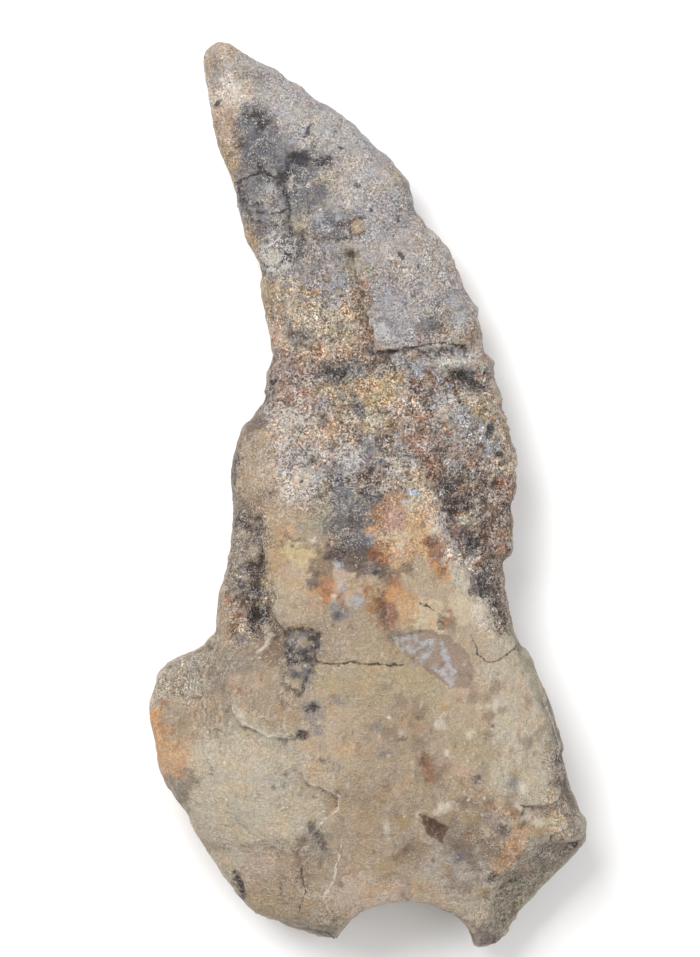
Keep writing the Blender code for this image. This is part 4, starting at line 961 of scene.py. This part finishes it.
def line_fields(surface, kind, front):
    """Place across the nearest line of a kind, 1 at its edges, and how strong the line is there."""
    x, y = warped(surface.points, wide=0.22, fine=0.16, seed=31)
    across, strength = np.zeros((2, len(x)))
    nearest = np.full(len(x), np.inf)
    for path, start_width, end_width in LINES[kind]:
        signed, walked, past_end = to_path(x, y, path)
        width = start_width + (end_width - start_width) * walked
        nearer = np.abs(signed) < nearest
        fade = (1 - smooth_step(past_end / LINE_END)) * (1 - smooth_step(np.abs(signed) - LINE_REACH))
        across = np.where(nearer, np.clip(signed / width, -8, 8), across)
        strength = np.where(nearer, fade * front, strength)
        nearest = np.where(nearer, np.abs(signed), nearest)
    return across, strength


def relief(surface, front, grit, fields, cracks):
    """How far each point moves out of the surface, in millimetres."""
    points = surface.points
    x, y = warped(points, wide=0.35, fine=0.25, seed=41)
    rise = np.zeros(len(x))
    for path, drop, reach in LEDGES:
        away, _, past_end = to_path(x, y, path)
        low = smooth_step(away / LEDGE_WIDTH + 0.5) * (1 - smooth_step((away - reach / 2) / reach))
        rise -= LEDGE_GAIN * drop * low * (1 - smooth_step(past_end / LEDGE_END))
    for *spot, height in LUMPS:
        rise += height * np.exp(-oval(points[:, 0], points[:, 1], spot) ** 2)
    crack, strength = cracks
    rise -= CRACK_DEPTH * np.exp(-((crack / CRACK_SPREAD) ** 2)) * strength
    for group, height, slope in MARK_HEIGHTS:
        rise += height * smooth_step(fields[group] / slope)
    rise *= toned_down(front, BACK_RELIEF)
    gain, start, most = ROUGHENING
    rough = np.clip(grit * gain - start, 0.0, most)
    rise += PEBBLE_HEIGHT * rough * (pebble_noise(points, PEBBLE_SIZE, 1) - PEBBLE_LEVEL)
    for smooth_height, rough_height, size, seed, octaves in UNEVENNESS:
        rise += (smooth_height + rough_height * rough) * lumps_noise(points, size, seed, octaves)
    flakes = lumps_noise(points * np.array(FLAKE_STRETCH), FLAKE_SIZE, 57, 4)
    terraces = sum(smooth_step((flakes - level) * FLAKE_STEEPNESS + 0.5) for level in FLAKE_LEVELS)
    return rise + (1 - rough) * FLAKE_HEIGHT * (terraces - 1.0)


def hollows(surface):
    """Positive in hollows, negative on ridges."""
    return np.sum((surface.rounded(HOLLOW_SMOOTHING) - surface.points) * surface.normals(), axis=1)


class Nodes:
    """Short ways to add and wire a material's nodes."""

    def __init__(self, material):
        self.tree = material.node_tree
        place = self.add("TexCoord").outputs["Object"]
        self.place = self.add("VectorMath", {0: place, "Scale": 1 / MM}, operation="SCALE").outputs[0]

    def add(self, kind, inputs=(), **settings):
        """A new node with its settings, and a wire or a plain value for each of the named inputs."""
        node = self.tree.nodes.new("ShaderNode" + kind)
        for name, value in settings.items():
            setattr(node, name, value)
        for key, value in dict(inputs).items():
            self.feed(node.inputs[key], value)
        return node

    def feed(self, socket, value):
        """Wire an output into a socket, or set the socket to a plain value."""
        if isinstance(value, bpy.types.NodeSocket):
            self.tree.links.new(value, socket)
        else:
            socket.default_value = value

    def math(self, operation, *values):
        return self.add("Math", enumerate(values), operation=operation).outputs[0]

    def times(self, value, *factors):
        for factor in factors:
            value = self.math("MULTIPLY", value, factor)
        return value

    def ramp(self, value, low, high, to_low=0.0, to_high=1.0):
        """An S-curve from to_low to to_high as the value goes from low to high."""
        inputs = {"Value": value, "From Min": low, "From Max": high, "To Min": to_low, "To Max": to_high}
        return self.add("MapRange", inputs, interpolation_type="SMOOTHSTEP").outputs[0]

    def mix(self, share, a, b, blend="MIX"):
        return self.add("Mix", {0: share, 6: a, 7: b}, data_type="RGBA", blend_type=blend).outputs[2]

    def channels(self, colour):
        return self.add("SeparateColor", {0: colour}).outputs

    def tint(self, share, colour, factor):
        """The colour multiplied by the factor's red, green and blue, for a share of the way."""
        return self.mix(share, colour, self.mix(1.0, colour, (*factor, 1.0), "MULTIPLY"))

    def field(self, name, output="Fac"):
        return self.add("Attribute", attribute_name=name).outputs[output]

    def moved(self, offset, stretch=(1.0, 1.0, 1.0), turn=0.0):
        """Places in millimetres, moved off so that no two patterns fall together."""
        inputs = {
            "Vector": self.place,
            "Location": (offset, offset * 0.7, offset * 0.3),
            "Rotation": (0.0, 0.0, math.radians(turn)),
            "Scale": stretch,
        }
        return self.add("Mapping", inputs).outputs[0]

    def noise(self, size, offset=0.0, detail=2.0, rough=0.55, vector=None):
        """Cloudy noise of 0 to 1 with patches of about the given size."""
        place = vector or self.moved(offset)
        inputs = {"Vector": place, "Scale": 1 / size, "Detail": detail, "Roughness": rough}
        return self.add("TexNoise", inputs).outputs["Fac"]

    def swing(self, *how):
        """The same noise as -0.5 to 0.5."""
        return self.math("SUBTRACT", self.noise(*how), 0.5)

    def bent(self, offset, size, reach):
        """Places pushed about by noise, so that what is drawn there has ragged edges."""
        push = self.add("TexNoise", {"Vector": self.moved(offset), "Scale": 1 / size, "Detail": 0.0})
        inputs = {0: push.outputs["Color"], 1: (reach, reach, reach), 2: self.moved(offset)}
        return self.add("VectorMath", inputs, operation="MULTIPLY_ADD").outputs[0]

    def cells(self, size, offset=0.0, vector=None):
        """Colour and distance from the middle of scattered cells."""
        return self.add("TexVoronoi", {"Vector": vector or self.moved(offset), "Scale": 1 / size}).outputs


def mottled(nodes, grit):
    """Ground colour, broken up into tinted clumps that are smaller and stronger in the grit."""
    colour = nodes.field("ground", "Color")
    for offset, low, factor in CLUMPS:
        smooth = nodes.times(nodes.ramp(nodes.noise(2.0, offset, 4.0, 0.68), low, low + 0.06), 0.22)
        gritty = nodes.ramp(nodes.noise(1.2, offset + 50, 3.0, 0.64), low, low + 0.06)
        gritty = nodes.times(gritty, nodes.ramp(grit, 0.1, 0.8, 0.0, 0.6))
        colour = nodes.tint(nodes.math("MAXIMUM", smooth, gritty), colour, factor)
    return colour


def marked(nodes, colour):
    """Colour with every group's marks, and the mask of each group."""
    edge_noise = nodes.swing(0.55, 7.0, 5.0, 0.75)
    speckle = nodes.ramp(nodes.noise(0.26, 17.0, 2.0), 0.4, 0.54, 0.5, 1.0)
    masks = {}
    for group, shade, ragged, soft, opacity in MARKS:
        worn = nodes.math("MULTIPLY_ADD", edge_noise, ragged * 2, nodes.field(group))
        masks[group] = nodes.ramp(worn, -soft, soft)
        share = nodes.times(masks[group], opacity)
        if group in SPECKLED_MARKS:
            share = nodes.times(share, speckle)
        colour = nodes.mix(share, colour, linear(shade))
    return colour, masks


def grained(nodes, colour, grit):
    """Colour with its pale and dark grains, and the height of the grain; the pale grains sit on the grain's
    tops as white crystals and painted glints, the dark ones in its pits as dark specks and painted shade.
    """
    strength = nodes.ramp(grit, 0.05, 0.8, 0.12, 1.0)
    strength = nodes.times(strength, nodes.ramp(nodes.noise(2.0, 61.0, 3.0, 0.6), 0.4, 0.56, 0.35, 1.0))
    height = 0.0
    for size, offset, pale, dark in GRAINS:
        grain = nodes.noise(size, offset, 2.0, 0.6)
        high = nodes.ramp(grain, 0.52, 0.57)
        low = nodes.ramp(grain, 0.42, 0.47, 1.0, 0.0)
        # painted glints and white crystals on the tops, painted shade and dark specks in the pits
        pale_grain_and_glint = nodes.mix(0.3, nodes.tint(1.0, colour, PALE_GRAIN_AND_GLINT_TINT), linear(WHITE_GRAIN_AND_GLINT))
        colour = nodes.mix(nodes.times(strength, pale, high), colour, pale_grain_and_glint)
        colour = nodes.tint(nodes.times(strength, dark, low), colour, DARK_GRAIN_AND_PIT_SHADE_TINT)
        height = nodes.math("ADD", height, nodes.math("SUBTRACT", high, low))
    return colour, nodes.times(height, nodes.ramp(grit, 0.0, 1.0, 0.3, 1.0))


def flecked(nodes, colour, grit):
    """Colour with tiny pale and dark ticks, thick in some places and missing in others."""
    amount = nodes.ramp(grit, 0.1, 0.45, 0.1, 1.0)
    amount = nodes.times(amount, nodes.ramp(nodes.noise(2.4, 91.0, 3.0), 0.4, 0.6))
    for size, offset, shade, opacity in TICKS:
        ticks = nodes.ramp(nodes.noise(size, offset, 3.0, 0.6), 0.6, 0.63)
        colour = nodes.mix(nodes.times(ticks, amount, opacity), colour, linear(shade))
    return colour


def veined(nodes, colour, grit):
    """Colour with clusters of hair-fine squiggles."""
    for size, offset, shade, half_width, needed in HAIRS:
        thread = nodes.math("ABSOLUTE", nodes.swing(size, offset, 4.0, 0.6))
        thread = nodes.ramp(thread, half_width * 0.3, half_width, 0.85, 0.0)
        cluster = nodes.ramp(nodes.noise(1.8, offset + 38, 3.0, 0.6), 0.53, 0.6)
        colour = nodes.mix(nodes.times(thread, cluster, nodes.ramp(grit, *needed)), colour, linear(shade))
    return colour


def speckled(nodes, colour):
    """Colour with small scattered specks of every size up to a fifth of the way between them."""
    for offset, size, shade in SPECKS:
        spots = nodes.cells(size, offset)
        pick = nodes.channels(spots["Color"])
        away = nodes.math("MULTIPLY_ADD", nodes.swing(0.3, offset + 1, 3.0), 0.35, spots["Distance"])
        away = nodes.math("ADD", away, nodes.times(pick[1], 0.12))
        inside = nodes.ramp(away, 0.08, 0.18, 1.0, 0.0)
        share = nodes.times(inside, nodes.ramp(pick[0], 0.5, 1.0, 0.0, 0.75))
        colour = nodes.mix(share, colour, linear(shade))
    return colour


def threaded(nodes, colour):
    """Colour under a net of white mineral threads, and where they are."""
    threads = nodes.ramp(nodes.math("ABSOLUTE", nodes.swing(0.46, 31.0, 3.0, 0.6)), 0.03, 0.065, 1.0, 0.0)
    threads = nodes.times(threads, nodes.ramp(nodes.noise(0.8, 37.0, 3.0), 0.4, 0.48))
    threads = nodes.times(threads, nodes.ramp(nodes.field("crust"), 0.1, 0.55))
    return nodes.mix(nodes.times(threads, 0.9), colour, linear(THREAD)), threads


def pebbled(nodes, colour, grit):
    """Colour with rounded pebbles, each ringed by painted shade at its foot, and how far inside a pebble each
    point is.
    """
    spots = nodes.cells(1.35, 101.0)
    pick = nodes.channels(spots["Color"])
    away = nodes.math("MULTIPLY_ADD", nodes.swing(0.5, 103.0, 3.0), 0.5, spots["Distance"])
    chosen = nodes.times(nodes.ramp(pick[0], 0.6, 0.62), nodes.ramp(grit, 0.25, 0.6))
    inside = nodes.times(nodes.ramp(away, 0.24, 0.29, 1.0, 0.0), chosen)
    # ring of painted shade just outside each pebble
    rim = nodes.times(nodes.ramp(away, 0.34, 0.44, 1.0, 0.0), chosen)
    colour = nodes.tint(nodes.times(rim, 0.7), colour, PEBBLE_FOOT_SHADE_TINT)
    shade = nodes.mix(nodes.ramp(pick[1], 0.2, 0.8), *map(linear, PEBBLES))
    return nodes.mix(nodes.times(inside, 0.75), colour, shade), inside


def crumbled(nodes, colour, grit):
    """Colour of loose crumbs, some pale and some dark, with painted shade in the gaps between them, and their
    height.
    """
    height = 0.0
    where = nodes.ramp(nodes.noise(2.2, 163.0, 2.0, 0.6), 0.42, 0.55, 0.25, 1.0)
    where = nodes.times(nodes.ramp(grit, 0.2, 0.7), where)
    for size, offset, strength in CRUMBS:
        crumbs = nodes.cells(size, vector=nodes.bent(offset, size * 0.6, size * 0.9))
        pick = nodes.channels(crumbs["Color"])
        share = nodes.times(where, strength)
        dark = nodes.times(nodes.ramp(pick[0], 0.25, 0.4, 1.0, 0.0), share)
        pale = nodes.times(nodes.ramp(pick[0], 0.62, 0.8), share)
        # painted shade where the crumbs meet
        gap_shade = nodes.times(nodes.ramp(crumbs["Distance"], 0.48, 0.66), share)
        colour = nodes.tint(dark, colour, DARK_CRUMB_TINT)
        colour = nodes.tint(pale, colour, PALE_CRUMB_TINT)
        colour = nodes.tint(gap_shade, colour, CRUMB_GAP_SHADE_TINT)
        round_top = nodes.times(nodes.ramp(crumbs["Distance"], 0.1, 0.6, 1.0, 0.0), grit)
        height = nodes.math("ADD", height, nodes.times(round_top, size * 1.4))
    return colour, height


def lined(nodes, colour):
    """Colour with its cracks and veins, which waver and break off."""
    waver = nodes.ramp(nodes.noise(0.35, 53.0, 3.0), 0.3, 0.7, -0.8, 1.2)
    broken = nodes.ramp(nodes.noise(0.9, 59.0, 3.0), 0.34, 0.5, 0.5, 1.0)
    for kind, shade, opacity in LINE_LOOKS:
        across = nodes.math("ADD", nodes.math("ABSOLUTE", nodes.field(kind + "_across")), waver)
        share = nodes.times(nodes.ramp(across, 0.7, 1.6, opacity, 0.0), nodes.field(kind + "_strength"))
        colour = nodes.mix(nodes.times(share, broken), colour, linear(shade))
    return colour


def fossil_material():
    """Dentine and enamel turned to stone, with every stain, crystal, crack and crust on it, and painted shade
    and glints on its grain, crumbs, pebbles, hollows and step edges.
    """
    material = bpy.data.materials.new("fossil")
    material.use_nodes = True
    nodes = Nodes(material)
    shader = material.node_tree.nodes["Principled BSDF"]
    grit = nodes.field("grit")
    hollow = nodes.field("hollow")

    colour = mottled(nodes, grit)
    colour, grain_height = grained(nodes, colour, grit)
    colour, crumb_height = crumbled(nodes, colour, grit)
    colour, pebbles = pebbled(nodes, colour, grit)
    colour, masks = marked(nodes, colour)
    tooth_grain = nodes.ramp(nodes.noise(0.2, 19.0, 2.0, 0.6), 0.38, 0.6, 0.72, 1.26)
    grained_over = nodes.mix(1.0, colour, tooth_grain, "MULTIPLY")
    colour = nodes.mix(nodes.ramp(grit, 0.1, 0.7, 0.25, 1.0), colour, grained_over)
    fibre = nodes.noise(0.28, vector=nodes.moved(2.0, (1.0, 0.16, 1.0), FIBRE_TURN))
    fibre_tone = nodes.mix(1.0, colour, nodes.ramp(fibre, 0.3, 0.7, 0.7, 1.25), "MULTIPLY")
    colour = nodes.mix(nodes.field("fibre"), colour, fibre_tone)
    colour = flecked(nodes, colour, grit)
    colour = veined(nodes, colour, grit)
    colour = speckled(nodes, colour)
    colour, threads = threaded(nodes, colour)
    # painted shade and dirt, darker the deeper the hollow
    colour = nodes.mix(nodes.ramp(hollow, 0.02, 0.13, 0.0, 0.6), colour, linear(HOLLOW_SHADE_AND_DIRT))
    # paler on the ridges
    colour = nodes.mix(nodes.ramp(hollow, -0.1, -0.015, 0.35, 0.0), colour, linear(RIDGE_PALE_TONE))
    nodes.feed(shader.inputs["Base Color"], lined(nodes, colour))

    crystal_gloss = nodes.times(nodes.ramp(nodes.noise(0.3, 73.0), 0.8, 0.86), grit)
    polished = nodes.math("MAXIMUM", masks["chip"], nodes.times(masks["quartz"], 0.7))
    polished = nodes.math("MAXIMUM", polished, crystal_gloss)
    dull = nodes.ramp(nodes.noise(0.3, 43.0), 0.35, 0.7, 0.62, 0.92)
    nodes.feed(shader.inputs["Roughness"], nodes.math("MULTIPLY_ADD", polished, -0.5, dull))
    shader.inputs["Specular IOR Level"].default_value = 0.4

    height = nodes.math("ADD", grain_height, nodes.math("ADD", threads, nodes.times(pebbles, 2.0)))
    height = nodes.math("ADD", height, crumb_height)
    bump = nodes.add("Bump", {"Strength": 0.9, "Distance": BUMP_HEIGHT * MM, "Height": height})
    nodes.feed(shader.inputs["Normal"], bump.outputs[0])
    return material


def add_map(mesh, surface):
    """Lay the surface out flat: the front and the back as seen from above, with their sides opened out."""
    x, y, height = surface.rounded(MAP_SMOOTHING).T
    spine_y = np.clip(y, MAP_SPINE[0][0], MAP_SPINE[-1][0])
    outward = np.stack((x - np.interp(spine_y, *zip(*MAP_SPINE)), y - spine_y), axis=1)
    outward /= np.maximum(np.hypot(*outward.T), MAP_CORE)[:, None]
    front, back = (
        surface.points[:, :2] + outward * MAP_OPENING * np.maximum(drop, 0.0)[:, None]
        for drop in (MAP_TOP - height, height)
    )
    front = front + MAP_FRONT_CENTRE
    back = back * MAP_BACK_TURN + MAP_BACK_CENTRE
    corners = read(mesh.loops, "vertex_index", kind=np.int64)[:, 0]
    counts = read(mesh.polygons, "loop_total", kind=np.int64)[:, 0]
    face_heights = read(mesh.polygons, "center", 3)[:, 2]
    in_front = np.repeat(face_heights > MAP_SPLIT * MM, counts)[:, None]
    sheet = np.where(in_front, front[corners], back[corners]) / MAP_SHEET
    mesh.uv_layers.new(name="OFBake").data.foreach_set("uv", sheet.astype(np.float32).ravel())


def make_tooth():
    piece = fine_copy(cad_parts["tooth"])
    surface = Surface(piece.data)
    surface.smooth(SMOOTH_PASSES)
    surface.store()
    front = front_share(surface.points)
    grit = grit_share(surface, front)
    fields = group_fields(surface, front)
    lines = {kind: line_fields(surface, kind, front) for kind in LINES}
    x, y = warped(surface.points, wide=0.6, fine=0.3, seed=61)
    surface.keep("ground", ground_colour(surface, front))
    surface.keep("grit", grit)
    surface.keep("crust", cover(x, y, CRUST) * front)
    surface.keep("fibre", cover(x, y, FIBRES) * toned_down(front, BACK_FIBRES))
    for group, values in fields.items():
        surface.keep(group, values)
    for kind, (across, strength) in lines.items():
        surface.keep(kind + "_across", across)
        surface.keep(kind + "_strength", strength)
    surface.points += surface.normals() * relief(surface, front, grit, fields, lines["crack"])[:, None]
    surface.store()
    surface.keep("hollow", hollows(surface))
    add_map(piece.data, surface)
    piece.data.materials.clear()
    piece.data.materials.append(fossil_material())
    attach(piece, "root")
    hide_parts("tooth")


def make_floor():
    mesh = bpy.data.meshes.new("floor")
    corners = [(x * FLOOR_REACH, y * FLOOR_REACH, 0) for x, y in ((-1, -1), (1, -1), (1, 1), (-1, 1))]
    mesh.from_pydata(corners, [], [(0, 1, 2, 3)])
    floor = bpy.data.objects.new("floor", mesh)
    bpy.context.scene.collection.objects.link(floor)
    material = bpy.data.materials.new("floor")
    material.use_nodes = True
    shader = material.node_tree.nodes["Principled BSDF"]
    shader.inputs["Base Color"].default_value = FLOOR_COLOUR
    shader.inputs["Roughness"].default_value = 0.9
    shader.inputs["Specular IOR Level"].default_value = 0.1
    mesh.materials.append(material)


def make_camera():
    camera = bpy.data.cameras.new("camera")
    camera.sensor_width = SENSOR
    camera.lens = SENSOR * CAMERA_DISTANCE / FRAME_HEIGHT
    camera.clip_start, camera.clip_end = CAMERA_CLIP
    holder = bpy.data.objects.new("camera", camera)
    holder.location = (
        CAMERA_CENTRE[0] * MM,
        CAMERA_CENTRE[1] * MM,
        (CAMERA_DISTANCE + FOCUS_HEIGHT) * MM,
    )
    bpy.context.scene.collection.objects.link(holder)
    bpy.context.scene.camera = holder


def add_softbox(name, place, size, power, colour):
    """A square area light that faces the tooth."""
    light = bpy.data.lights.new(name, "AREA")
    light.size = size
    light.energy = power
    light.color = colour
    holder = bpy.data.objects.new(name, light)
    holder.location = place
    holder.rotation_euler = Vector(place).to_track_quat("Z", "Y").to_euler()
    bpy.context.scene.collection.objects.link(holder)


def make_light():
    for softbox in SOFTBOXES:
        add_softbox(*softbox)
    world = bpy.data.worlds.new("studio")
    world.use_nodes = True
    background = world.node_tree.nodes["Background"]
    background.inputs["Color"].default_value = (1.0, 1.0, 1.0, 1.0)
    background.inputs["Strength"].default_value = WORLD_STRENGTH
    bpy.context.scene.world = world
    bpy.context.scene.view_settings.view_transform = "Standard"
    bpy.context.scene.view_settings.look = "None"


make_tooth()
make_floor()
make_camera()
make_light()
